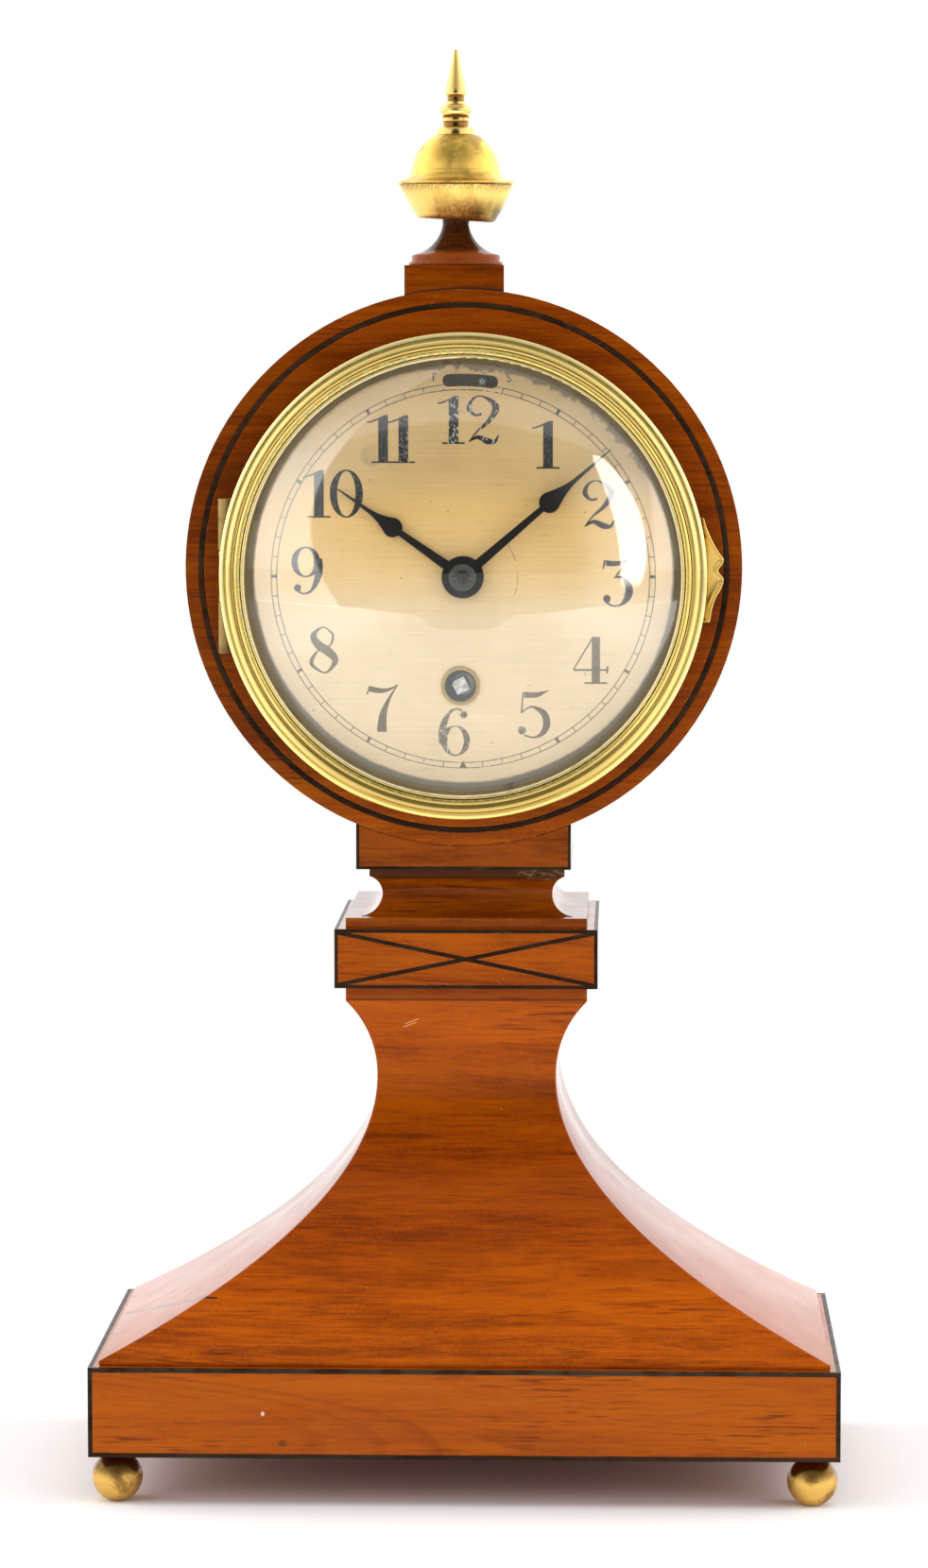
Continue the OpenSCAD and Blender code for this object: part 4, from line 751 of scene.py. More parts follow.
# Painted shade: the dial's outer edge is darkened all round under the bezel's lip. Along the upper edge the
# band is wider and ragged, a stain where damp came in.
rim_shade_and_stain_at = far(across, up - 0.0006) + ragged * remap(top, 0.0, 1.0, 0.12, 1.0) + top * 0.001
hair = noise(stretch(here, (420, 420, 2600)), 1.0, 2, 0.5, 0.8)
arc = near(radius, 0.0109, 0.00016, 0.00005) * near(angle, 1.25, 0.75, 0.55)
arc = arc * remap(noise(here, 500.0, 2, 0.5), 0.4, 0.6)
colour = paint(blend(1.0, champagne, painted_light_by_height, "MULTIPLY"), (
    (remap(rim_shade_and_stain_at, 0.0414, 0.0421) * 0.88, (0.09, 0.058, 0.025)),
    (remap(rim_shade_and_stain_at, 0.036, 0.0422) * top * 0.35, (0.34, 0.25, 0.14)),
    (speck(here, 330.0, 0.09) * 0.6, (0.16, 0.09, 0.04)),
    (speck(here, 820.0, 0.13) * 0.35, (0.24, 0.14, 0.06)),
    (remap(hair, 0.64, 0.72, 0.0, 0.3), (0.3, 0.2, 0.09)),
    (arc * 0.75, (0.2, 0.09, 0.04))))
smears = ((-18.4, 210.6, 3.0, 2.6, 0.4), (-12.3, 208.8, 3.6, 1.9, 0.3), (-5.3, 207.9, 0.13, 0.6, 0.6),
          (-2.1, 207.9, 0.13, 0.7, 0.6), (-2.3, 196.9, 0.14, 0.8, 0.55), (9.5, 192.6, 0.7, 0.12, 0.4))
for x, z, wide, high, strength in smears:
    smear = dab(here, x, z, wide, high) * strength * remap(cloud, 0.38, 0.62)
    colour = blend(smear, colour, (0.16, 0.11, 0.035))
plug(shader, {"Base Color": colour,
              "Roughness": remap(tone, 0.3, 0.7, 0.5, 0.36),
              "Metallic": remap(cloud, 0.3, 0.7, 0.06, 0.16),
              "Normal": raised(brushed, 0.1, 0.00004)})
print("dial finish has", len(tree.nodes), "nodes")

# %% Wax
wax, tree, shader = new_material("wax", Specular_IOR_Level=0.25)
here = place(tree)
x, _, z = parts(here)
# Painted light: the lower figures are painted lighter and warmer and crumble greyer, and the glints are
# painted highlights.
low = remap(z, 0.184, 0.175)
crumbled = blotch(here, 800.0, 0.52)
grey = crumbled * remap(low, 0.0, 1.0, 0.05, 0.3)
wrinkle = noise(stretch(here, (1, 1, 0.6)), 2600.0, 2, 0.5, 0.3)
glint = remap(wrinkle, 0.54, 0.64) * remap(abs(x), 0.015, 0.008, 0.12, 0.7)
black = blend(low, (0.006, 0.004, 0.003), (0.11, 0.075, 0.03))
plug(shader, {"Base Color": paint(black, ((grey, (0.3, 0.24, 0.16)), (glint, (0.55, 0.55, 0.5)))),
              "Roughness": remap(grey, 0.0, 1.0, 0.3, 0.55),
              "Normal": raised(crumbled, 0.5, 0.00005)})
print("wax has", len(tree.nodes), "nodes")

# %% [markdown]
# ## Finishes on the CAD solids
# Most solids already have their true shape, so they only need a finish. The frame's own normals keep
# the turned faces smooth.

# %% Assign
def dress(material, *names):
    for name in names:
        nodes[name].data.materials.clear()
        nodes[name].data.materials.append(material)


dress(plinth_wood, "plinth")
dress(drum_wood, "drum_case")
dress(block_wood, "cross_block")
dress(saddle_wood, "saddle_block")
dress(moulding_wood, "scotia_moulding", "finial_block")
dress(ebony_plinth, "plinth_edging")
dress(ebony_line, "block_edging", "saddle_edging", "ring_stringing", "cross_stringing")
dress(spotted_brass, "foot_front_left", "foot_front_right", "foot_back_left", "foot_back_right")
dress(bezel_brass, "bezel_ring")
dress(polished_brass, "bezel_tab", "winding_collet")
dress(shaded_brass, "bezel_hinge_pin", "glass_retainer", "dial_ring", "front_plate")
dress(movement_brass, "back_plate", "plate_pillars", "spring_barrel", "barrel_cover", "third_wheel",
      "fourth_wheel", "minute_wheel", "hour_wheel", "escape_platform", "balance_wheel")
dress(door_brass, "back_ring", "back_door")
dress(steel, "finial_stud", "cannon_pinion", "winding_arbor", "ratchet_wheel", "click", "click_spring",
      "escape_wheel", "pallet_lever", "hairspring", "regulator_index", "strap_screws")
dress(hub_steel, "hand_collet")
dress(arbor_brass, "centre_wheel")
dress(dial_skin, "dial_plate")
print("dressed", sum(1 for o in nodes.values() if o.data.materials))

# %% [markdown]
# ## A piece on the clock
# Each piece made here stands for a solid or is added to one. `piece` turns points in millimetres into a mesh
# and makes it ride on a body. Smooth shading with sharp edges above an angle lets a turned hollow look round
# and its fillets crisp.

# %% A piece
MERGE = 1e-7


def piece(name, points, faces, material, body="case", slot=None, stands_for=None, sharp=32):
    mesh = bpy.data.meshes.new(name)
    mesh.from_pydata([[c * MM for c in p] for p in points], [], faces)
    shaped = bmesh.new()
    shaped.from_mesh(mesh)
    bmesh.ops.remove_doubles(shaped, verts=shaped.verts, dist=MERGE)
    loose = [e for e in shaped.edges if not e.link_faces]
    bmesh.ops.delete(shaped, geom=loose, context="EDGES")
    bmesh.ops.recalc_face_normals(shaped, faces=shaped.faces)
    shaped.to_mesh(mesh)
    shaped.free()
    mesh.materials.append(material)
    mesh.shade_smooth()
    mesh.set_sharp_from_angle(angle=math.radians(sharp))
    obj = bpy.data.objects.new(name, mesh)
    bpy.context.collection.objects.link(obj)
    if stands_for:
        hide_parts(stands_for)
    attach(obj, body)
    return obj


print("piece helper ready")

# %% [markdown]
# ## The flared pedestal
# The pedestal spreads from a narrow neck to the plinth. Its side follows a parabola, then a short
# arc out to a fillet below the block. A loft of rounded rectangles follows that line far more
# closely than the CAD's flat steps, and the small corner radius is what years of polishing leave.
# `stack` joins the rings of points with faces.

# %% Rings of points
def on_circle(r, degrees, cx=0.0, cy=0.0):
    a = math.radians(degrees)
    return cx + r * math.cos(a), cy + r * math.sin(a)


def stack(rows, ring):
    faces = []
    for i in range(rows - 1):
        for k in range(ring):
            m = (k + 1) % ring
            faces.append((i * ring + k, i * ring + m, (i + 1) * ring + m, (i + 1) * ring + k))
    faces.append(tuple(range(ring - 1, -1, -1)))
    faces.append(tuple(range((rows - 1) * ring, rows * ring)))
    return faces


print("ring helpers ready")

# %% Pedestal
PLINTH_TOP, NECK, BLOCK = 28.0, 84.8, 103.0
foot_half, neck_half, fillet_half = 73.5, 18.15, 24.45
foot_deep, fillet_deep = 40.5, 24.45
sweep_high, flare_high, fillet_high = 15.3, 55.8, 2.6
flare_steps, sweep_steps, corner_steps = 63, 24, 5
corner = 0.5
sweep_out = fillet_half - neck_half
sweep_radius = (sweep_out ** 2 + sweep_high ** 2) / (2 * sweep_out)
deepening = (foot_deep - fillet_deep) / (foot_half - fillet_half)
side_line = [(foot_half - 0.35, PLINTH_TOP), (foot_half, PLINTH_TOP + 0.3), (foot_half, PLINTH_TOP + 0.8)]
for i in range(flare_steps + 1):
    t = 1 - i / flare_steps
    side_line.append((neck_half + (foot_half - neck_half) * t * t, NECK - flare_high * t))
for i in range(1, sweep_steps + 1):
    u = i / sweep_steps * sweep_high
    side_line.append((neck_half + sweep_radius - math.sqrt(sweep_radius ** 2 - u * u), NECK + u))
side_line += [(fillet_half, BLOCK - fillet_high), (fillet_half, BLOCK)]
points = []
for half, z in side_line:
    deep = fillet_deep + (half - fillet_half) * deepening
    for cx, cy, start in ((1, 1, 0), (-1, 1, 90), (-1, -1, 180), (1, -1, 270)):
        for k in range(corner_steps):
            turn = start + 90 * k / (corner_steps - 1)
            points.append((*on_circle(corner, turn, cx * (half - corner), cy * (deep - corner)), z))
faces = stack(len(side_line), 4 * corner_steps)
pedestal = piece("pedestal", points, faces, pedestal_wood, slot="wood", stands_for="flared_pedestal",
                 sharp=40)
print("pedestal", len(pedestal.data.polygons), "faces")

# %% [markdown]
# ## The finial
# The finial was turned in pieces that a stud holds together: a dark wooden socle, a spun brass cup
# that sits a little askew, a dome with a brim, and a spire. Each is a profile spun round its axis.

# %% Lathe
def lathe(profile, centre, turns=144, lean=None):
    points, faces = [], []
    n = len(profile)
    for i in range(turns):
        a = 2 * math.pi * i / turns
        for r, z in profile:
            tilt = Matrix.Rotation(math.radians(lean(z) if lean else 0), 3, "Y")
            spot = tilt @ Vector((r * math.cos(a), r * math.sin(a), z))
            points.append((centre[0] + spot.x, centre[1] + spot.y, centre[2] + spot.z))
    for i in range(turns):
        j = (i + 1) % turns
        for k in range(n):
            m = (k + 1) % n
            faces.append((i * n + k, j * n + k, j * n + m, i * n + m))
    return points, faces


print("lathe ready")

# %% Socle and cup
FINIAL = (-2.9, 0.0)
SOCLE, CUP, BRIM, DOME_TOP = 248.7, 257.9, 265.38, 275.17
bore = 1.54
cove_radius, cove_low, cove_high, cove_edge, neck_radius = 7.3, 2.2, 6.1, 8.6, 2.7
cove_centre = neck_radius + math.sqrt(cove_radius ** 2 - (cove_radius - cove_high) ** 2)
socle_line = [(bore, 0), (9.45, 0), (9.7, 0.2), (9.7, 0.6), (9.5, 0.8), (9.1, 0.85), (9.1, 1.95), (8.85, 2.2)]
for i in range(17):
    z = cove_low + cove_high * i / 16
    r = cove_centre - math.sqrt(max(cove_radius ** 2 - (z - cove_low - cove_radius) ** 2, 0))
    if r < cove_edge:
        socle_line.append((r, z))
socle_line += [(2.75, 9.4), (bore, 9.4)]
piece("socle", *lathe(socle_line, (*FINIAL, SOCLE)), socle_wood, slot="wood_dark", stands_for="finial_socle",
      sharp=50)

cup_high, cup_lean = 7.2, 3.6
cup_line = [(2.2, 5.9), (2.2, 0), (7.1, 0), (7.7, 0.12), (8.1, 0.42)]
cup_line += [(8.15 + 3.4 * (i / 20) ** 0.82, 0.8 + 6.3 * i / 20) for i in range(1, 21)]
cup_line += [(11.5, 7.2), (11.2, 7.2), (11.0, 6.6), (8.0, 1.6), (7.2, 0.8), (3.2, 0.8), (3.0, 5.9)]
points, faces = lathe(cup_line, (*FINIAL, CUP), lean=lambda z: cup_lean * (1 - max(z, 0) / cup_high))
piece("cup", points, faces, spun_brass, slot="brass_old", stands_for="finial_cup")
print("socle and cup turned")

# %% Dome and spire
dome_radius, dome_centre, brim_rise, dome_end = 9, 2.0, 0.601, 60
dome_line = [(bore, 0.1), (11.6, 0.1), (11.6, -0.1), (11.95, -0.15), (12.1, 0.02), (12.1, 0.2), (12.0, 0.36)]
for i in range(1, 19):
    a = math.pi / 2 * i / 18
    dome_line.append((12.0 - 2.9 * math.sin(a) ** 1.15, 0.42 + 2.18 * (1 - math.cos(a))))
dome_start = math.degrees(math.asin(brim_rise / dome_radius))
dome_line += [on_circle(dome_radius, dome_start + (dome_end - dome_start) * i / 40, 0, dome_centre)
              for i in range(1, 41)]
dome_line += [(bore, 9.79)]
piece("dome", *lathe(dome_line, (*FINIAL, BRIM)), satin_brass, slot="brass", stands_for="finial_dome")

spire_line = [(bore, 0), (3.75, 0), (3.9, 0.12), (3.9, 1.0), (3.8, 1.4), (3.45, 1.65), (2.75, 1.7),
              (2.6, 1.85), (2.6, 2.7), (2.8, 2.85), (2.9, 2.95), (2.9, 3.65), (2.75, 3.8)]
spire_line += [on_circle(1.25, a, 2.1, 5.05) for a in range(-80, 81, 8)]
spire_line += [(2.05, 6.35), (2.05, 6.95), (1.75, 7.05), (1.7, 7.5), (1.75, 8.0), (2.0, 8.1), (2.25, 8.4),
               (2.25, 8.75)]
spire_line += [(2.22 + (0.46 - 2.22) * i / 12, 8.9 + (17.0 - 8.9) * i / 12) for i in range(1, 13)]
spire_line += [(0.4, 17.2), (0.22, 17.36), (0.0, 17.4), (0.0, 2.4), (bore, 2.4)]
piece("spire", *lathe(spire_line, (*FINIAL, DOME_TOP), turns=96), spire_brass, slot="brass",
      stands_for="finial_spire")
print("finial made of 4 turned pieces")

# %% [markdown]
# ## The thumb tab
# A small ogee bracket on the right opens the bezel. It was filed with a rounded rim and a hollow face,
# so the rim shines and the hollow stays dark. The outline is drawn once, and rings of it, each a
# little smaller, step up over the rim and down into the hollow. `bend` draws a smooth line through
# a few points, as a bent lath does.

# %% A smooth line
def bend(points, count):
    line = []
    last = len(points) - 1
    for i in range(count + 1):
        t = i / count * last
        k = min(int(t), last - 1)
        f = t - k
        four = (points[max(k - 1, 0)], points[k], points[k + 1], points[min(k + 2, last)])
        line.append(tuple(0.5 * (2 * b + (c - a) * f + (2 * a - 5 * b + 4 * c - d) * f * f
                                 + (3 * b - a - 3 * c + d) * f ** 3) for a, b, c, d in zip(*four)))
    return line


print("bend ready")

# %% Thumb tab
DIAL_Y = -26.5


def face_point(x, y, z):
    return HUB[0] + x, DIAL_Y - z, HUB[1] + y


ogee = [(47.58, 11.93), (48.15, 11.74), (48.62, 10.14), (49.48, 8.06), (50.43, 6.18), (51.38, 4.67),
        (51.95, 3.91), (52.09, 3.35), (51.9, 2.59), (51.3, 1.8), (51.0, 1.27), (51.45, 0.6), (52.0, -0.15),
        (52.1, -0.81), (51.95, -1.56), (51.45, -2.7), (50.67, -4.03), (50.11, -5.54), (49.74, -7.05),
        (49.55, -8.38), (49.37, -9.0), (48.99, -9.15), (48.42, -9.1)]
rim_line = bend(ogee, 88)
tab_low, tab_high, back_radius = -9.1, 11.9, 46.6
back_line = []
for i in range(21):
    y = tab_low + (tab_high - tab_low) * i / 20
    back_line.append((math.sqrt(back_radius ** 2 - y * y), y))
outline = [Vector(q) for q in rim_line + back_line]
steps = ((0.0, 2.2), (0.0, 3.0), (0.07, 3.2), (0.22, 3.36), (0.42, 3.4), (0.62, 3.33), (0.85, 3.15),
         (1.1, 3.05))
hollow_from, hollow_room = 46.9, 2.2
points = []
count = len(outline)
for inset, z in steps:
    for i, q in enumerate(outline):
        way = (outline[(i + 1) % count] - outline[i - 1]).normalized()
        inward = Vector((way.y, -way.x)) if i < len(rim_line) else Vector((0, 0))
        room = min(1.0, max(q.x - hollow_from, 0) / hollow_room)
        s = q + inward * inset * room
        points.append(face_point(s.x, s.y, z))
piece("thumb_tab", points, stack(len(steps), count), polished_brass, body="bezel_door", slot="brass",
      stands_for="bezel_tab", sharp=60)
print("thumb tab has", count, "points round its rim")

# %% [markdown]
# ## The bezel's face
# The bezel was spun and then turned in a lathe: a broad quarter round outside, a shallow hollow, a
# second round, and a thin bead by the glass. The soft steps between them are what make the bright and
# dark rings. One profile, spun round the dial's axis, lies over the CAD's plainer beads.

# %% Bezel face
def spun_on_dial(profile, turns):
    points, faces = lathe(profile, (0, 0, 0), turns)
    return [face_point(*p) for p in points], faces


face_line = [(48.84, 3.5)] + bend([(48.86, 4.4), (48.74, 4.97), (48.45, 5.3), (48.1, 5.46), (47.75, 5.5)], 16)
face_line += bend([(47.6, 5.47), (47.46, 5.53), (47.37, 5.75)], 6)
second_round = [(47.37, 6.05), (47.2, 6.47), (46.93, 6.72), (46.55, 6.86), (46.15, 6.87), (45.8, 6.78)]
face_line += bend(second_round, 20)
face_line += [(45.73, 6.73), (45.69, 6.78)]
face_line += bend([(45.67, 7.02), (45.5, 7.24), (45.2, 7.37), (44.9, 7.38), (44.6, 7.28), (44.47, 7.2)], 16)
face_line += [(44.46, 6.9), (47.0, 3.6)]
piece("bezel_face", *spun_on_dial(face_line, 192), bezel_brass, body="bezel_door", slot="brass", sharp=50)
print("bezel face has", len(face_line), "points in its profile")

# %% [markdown]
# ## The domed glass
# The pane is a slice of a hollow ball. The CAD's ball is made of flat facets, and a mirror shows every
# facet, so the pane is spun afresh from two true arcs, one for each face.

# %% Domed glass
pane_edge, ball_radius, ball_centre, pane_thick = 44.3, 136.3, -122.8, 1.6


def ball_line(radius, steps=48):
    rim = math.asin(pane_edge / radius)
    return [(radius * math.sin(rim * i / steps), ball_centre + radius * math.cos(rim * i / steps))
            for i in range(steps + 1)]


pane_line = ball_line(ball_radius)[::-1] + ball_line(ball_radius - pane_thick)
pane = piece("domed_glass", *spun_on_dial(pane_line, 256), glass, body="bezel_door", slot="glass",
             stands_for="convex_glass")
print("domed glass has", len(pane.data.polygons), "faces")

# %% [markdown]
# ## The hands
# Each hand is sawn from thin steel: a boss, a slim stem, a pear-shaped bulb and a fine point. Its
# front edges are filed off. The outline is drawn once with its lengths, then filled, thickened and
# bevelled with Blender's own tools.

# %% A hand's outline
HAND_THICK, BOSS = 0.7, 4.17
STEM_FOOT = (0.95, 3.95)
STEM_HALF, NEEDLE_HALF, TIP_HALF = 0.62, 0.42, 0.12
BULB_START, BULB_TURN = -72, 90


def hand_outline(length, bulb_at, bulb_r):
    right = [STEM_FOOT, (STEM_HALF, on_circle(bulb_r, BULB_START, 0, bulb_at)[1])]
    right += [on_circle(bulb_r, BULB_START + BULB_TURN * i / 12, 0, bulb_at) for i in range(1, 13)]
    wide, start = right[-1]
    rise = bulb_at + 0.43 * (length - bulb_at) - start
    right += [(NEEDLE_HALF + (wide - NEEDLE_HALF) * (1 - i / 12) ** 1.7, start + rise * i / 12)
              for i in range(1, 13)]
    right.append((TIP_HALF, length))
    first = math.degrees(math.atan2(right[0][1], right[0][0]))
    boss = [on_circle(BOSS, first - k) for k in range(6, int(360 - 2 * (90 - first)) - 5, 6)]
    return [(-x, y) for x, y in right] + right[::-1] + boss


print("hand outline ready")

# %% Hands
def hand(name, length, bulb_at, bulb_r, turn, z, bore, body, node):
    loops = (hand_outline(length, bulb_at, bulb_r), [on_circle(bore, a) for a in range(0, 360, 6)])
    flat = bmesh.new()
    edges = []
    for loop in loops:
        verts = [flat.verts.new((x, y, 0)) for x, y in loop]
        edges += [flat.edges.new((v, verts[(i + 1) % len(verts)])) for i, v in enumerate(verts)]
    bmesh.ops.triangle_fill(flat, use_beauty=True, edges=edges)
    triangles = [[v.co.xy.copy() for v in f.verts] for f in flat.faces]
    flat.free()
    spin = Matrix.Rotation(math.radians(-turn), 2)
    points, faces = [], []

    def face(corners):
        faces.append(tuple(range(len(points), len(points) + len(corners))))
        for q, lift in corners:
            s = spin @ Vector(q)
            points.append(face_point(s.x, s.y, z + lift))

    for triangle in triangles:
        face([(q, HAND_THICK) for q in triangle])
        face([(q, 0) for q in triangle[::-1]])
    for loop in loops:
        for a, b in zip(loop, loop[1:] + loop[:1]):
            face([(a, 0), (b, 0), (b, HAND_THICK), (a, HAND_THICK)])
    obj = piece(name, points, faces, blued_black, body=body, slot="black", stands_for=node)
    filed = obj.modifiers.new("filed_edges", "BEVEL")
    filed.width = 0.00011
    filed.segments = 2
    filed.limit_method = "ANGLE"
    filed.angle_limit = math.radians(50)


hand("minute_pointer", 38.9, 22.8, 2.1, 49.2, 4.4, 1.77, "minute", "minute_hand")
hand("hour_pointer", 30.4, 17.1, 1.95, 305, 2.6, 2.72, "hour", "hour_hand")
print("hands made")

# %% [markdown]
# ## The dial's figures
# The figures are engraved and filled with black wax. Each is drawn with strokes that swell and thin
# like a broad pen's. A stroke is a smooth line with a width at each point. Many overlapping quads
# follow it, and a Delaunay fill joins them into one clean outline, which becomes a thin solid.

# %% Strokes
DIAL_FRONT, PRINT_SUNK = 1.8, 0.02
THINNEST = 0.012


def stroke(points, closed=False, steps=10):
    line = bend(points + [points[0]] if closed else points, steps * (len(points) - (0 if closed else 1)))
    sides = []
    for i, (x, y, w) in enumerate(line):
        a, b = line[max(i - 1, 0)], line[min(i + 1, len(line) - 1)]
        way = Vector((b[0] - a[0], b[1] - a[1]))
        way = way.normalized() if way.length else Vector((1, 0))
        off = Vector((-way.y, way.x)) * max(w, THINNEST) / 2
        sides.append(((x + off.x, y + off.y), (x - off.x, y - off.y)))
    return [[a, b, d, c] for (a, b), (c, d) in zip(sides, sides[1:])]


def disc(x, y, r, n=20):
    return [[on_circle(r, 360 * i / n, x, y) for i in range(n)]]


def bar(x0, y0, x1, y1):
    return [[(x0, y0), (x1, y0), (x1, y1), (x0, y1)]]


def oval_ring(x, y, rx, ry, inner_rx, inner_ry, n=40):
    def at(i, wide, high):
        a = 2 * math.pi * i / n
        return x + wide * math.cos(a), y + high * math.sin(a)

    return [[at(i, rx, ry), at(i + 1, rx, ry), at(i + 1, inner_rx, inner_ry), at(i, inner_rx, inner_ry)]
            for i in range(n)]


print("pen strokes ready")

# %% Fill
def filled(shapes, z0, z1):
    verts, polys = [], []
    for shape in shapes:
        area = sum(a[0] * b[1] - b[0] * a[1] for a, b in zip(shape, shape[1:] + shape[:1]))
        if abs(area) < 1e-7:
            continue
        start = len(verts)
        verts += [Vector(q) for q in (shape if area > 0 else shape[::-1])]
        polys.append(list(range(start, len(verts))))
    flat, _, tris, _, _, owners = geometry.delaunay_2d_cdt(verts, [], polys, 1, 1e-5)
    tris = [t for t, o in zip(tris, owners) if o]
    points = [face_point(v.x, v.y, z0) for v in flat] + [face_point(v.x, v.y, z1) for v in flat]
    n = len(flat)
    faces = [tuple(t[::-1]) for t in tris] + [tuple(i + n for i in t) for t in tris]
    directed = {(t[i], t[(i + 1) % len(t)]) for t in tris for i in range(len(t))}
    faces += [(a, b, b + n, a + n) for a, b in directed if (b, a) not in directed]
    return points, faces


def print_on_dial(name, shapes, proud):
    points, faces = filled(shapes, DIAL_FRONT - PRINT_SUNK, DIAL_FRONT + proud)
    return piece(name, points, faces, wax, slot="black")


print("fill ready")

# %% Digits
nine = oval_ring(-0.03, 0.68, 0.3, 0.32, 0.17, 0.29) + disc(-0.2, 0.14, 0.075)
nine += stroke([(0.24, 0.75, 0.13), (0.25, 0.55, 0.15), (0.2, 0.3, 0.13), (0.08, 0.08, 0.06),
                (-0.08, 0.02, 0.035), (-0.2, 0.08, 0.04)])
digits = {
    "0": oval_ring(0, 0.5, 0.345, 0.5, 0.19, 0.47),
    "1": [[(-0.1, 0.03), (0.1, 0.03), (0.1, 1.0), (-0.1, 0.93)]] + bar(-0.24, 0, 0.24, 0.035)
         + stroke([(-0.33, 0.84, 0.03), (-0.2, 0.87, 0.035), (0.05, 0.985, 0.03)]),
    "2": stroke([(-0.02, 0.62, 0.05), (-0.16, 0.6, 0.05), (-0.28, 0.74, 0.1), (-0.2, 0.93, 0.05),
                 (0, 0.985, 0.03), (0.27, 0.78, 0.14), (0.15, 0.5, 0.1), (-0.12, 0.25, 0.035),
                 (-0.28, 0.04, 0.03)])
         + stroke([(-0.28, 0.05, 0.03), (-0.1, 0.14, 0.08), (0.1, 0.06, 0.13), (0.25, 0.05, 0.07),
                   (0.33, 0.18, 0.03)]),
    "3": stroke([(-0.22, 0.9, 0.12), (0, 0.89, 0.1), (0.15, 0.93, 0.05), (0.26, 1, 0.02)])
         + stroke([(-0.28, 0.78, 0.03), (-0.24, 0.96, 0.04)])
         + stroke([(0.26, 0.99, 0.03), (-0.02, 0.62, 0.03)])
         + stroke([(-0.05, 0.6, 0.03), (0.12, 0.6, 0.06), (0.25, 0.42, 0.14), (0.24, 0.22, 0.15),
                   (0.1, 0.04, 0.06), (-0.08, 0.01, 0.035), (-0.22, 0.1, 0.05)]) + disc(-0.2, 0.16, 0.08),
    "4": bar(0.02, 0.02, 0.19, 0.98) + stroke([(0.05, 0.98, 0.03), (-0.36, 0.3, 0.03)])
         + bar(-0.36, 0.27, 0.36, 0.31) + stroke([(0.34, 0.22, 0.04), (0.35, 0.37, 0.04)])
         + bar(-0.13, 0, 0.34, 0.035),
    "5": stroke([(-0.2, 0.9, 0.12), (0.05, 0.9, 0.11), (0.2, 0.95, 0.05), (0.3, 0.99, 0.02)])
         + stroke([(-0.22, 0.95, 0.03), (-0.26, 0.52, 0.03)])
         + stroke([(-0.26, 0.53, 0.03), (-0.05, 0.65, 0.04), (0.2, 0.52, 0.13), (0.27, 0.3, 0.15),
                   (0.18, 0.1, 0.1), (0, 0.01, 0.035), (-0.2, 0.06, 0.04)]) + disc(-0.25, 0.16, 0.085),
    "6": [[(-x, 1 - y) for x, y in shape] for shape in nine],
    "7": stroke([(-0.34, 0.78, 0.03), (-0.29, 0.95, 0.04)])
         + stroke([(-0.3, 0.9, 0.12), (-0.05, 0.86, 0.1), (0.15, 0.9, 0.05), (0.3, 0.99, 0.02)])
         + stroke([(0.3, 0.99, 0.02), (0.12, 0.7, 0.06), (0, 0.4, 0.14), (-0.03, 0.15, 0.19),
                   (-0.03, 0, 0.2)]),
    "8": stroke([(0.2, 0.83, 0.05), (0, 0.97, 0.03), (-0.2, 0.8, 0.12), (-0.1, 0.6, 0.17), (0.12, 0.45, 0.18),
                 (0.25, 0.26, 0.12), (0.05, 0.02, 0.035), (-0.2, 0.15, 0.07), (-0.24, 0.28, 0.08),
                 (-0.1, 0.48, 0.04), (0.13, 0.58, 0.035), (0.2, 0.72, 0.05)], closed=True),
    "9": nine,
}
print("digits drawn:", "".join(digits))

# %% Figures
FIGURE_HIGH = 9.6
pair_gap = {"11": 0.42, "12": 0.6, "10": 0.57}
spots = {"12": (1.0, 31.2), "11": (-13.9, 27.4), "10": (-26.0, 16.5), "9": (-31.1, 1.15),
         "8": (-27.95, -14.65), "7": (-15.9, -26.3), "6": (-1.8, -31.1), "5": (14.15, -27.45),
         "4": (25.5, -16.6), "3": (30.6, -1.1), "2": (26.95, 14.4), "1": (16.9, 26.3)}
dial_print = []
for label, (cx, cy) in spots.items():
    shapes = []
    for k, mark in enumerate(label):
        shift = (k - 0.5) * pair_gap[label] if label in pair_gap else 0
        shapes += [[(cx + (x + shift) * FIGURE_HIGH, cy + (y - 0.5) * FIGURE_HIGH) for x, y in shape]
                   for shape in digits[mark]]
    dial_print.append(print_on_dial("figure_" + label, shapes, 0.03))
print("figures on the dial:", len(spots))

# %% [markdown]
# ## The minute track
# Two fine circles carry a tick for each minute, a block for each five, and a small triangle at six.
# The regulator's slot breaks the track at the top, with a letter at each end of it for fast and slow.

# %% Minute track
TRACK_IN, TRACK_OUT, TRACK_MIDDLE, LINE_HALF = 37.2, 38.3, 37.7, 0.085
BLOCK_WIDE, TICK_WIDE = 0.62, 0.17
SLOT_END, SLOT_START = 10, 354


def polar(r, degrees):
    return r * math.sin(math.radians(degrees)), r * math.cos(math.radians(degrees))


def track_block(r0, r1, from_angle, to_angle):
    return [polar(r0, from_angle), polar(r1, from_angle), polar(r1, to_angle), polar(r0, to_angle)]


track = []
for r in (TRACK_IN, TRACK_OUT):
    for a in range(0, 360, 2):
        if r == TRACK_IN or SLOT_END <= a <= SLOT_START:
            track.append(track_block(r - LINE_HALF, r + LINE_HALF, a, a + 2))
for minute in range(2, 60):
    a = minute * 6
    wide = BLOCK_WIDE if minute % 5 == 0 else TICK_WIDE
    half = math.degrees(wide / 2 / TRACK_MIDDLE)
    if minute == 30:
        track.append([polar(38.35, 178.8), polar(38.35, 181.2), polar(36.95, 180)])
    else:
        track.append(track_block(TRACK_IN, TRACK_OUT, a - half, a + half))
dial_print.append(print_on_dial("minute_track", track, 0.02))
print("minute track has", len(track), "shapes")

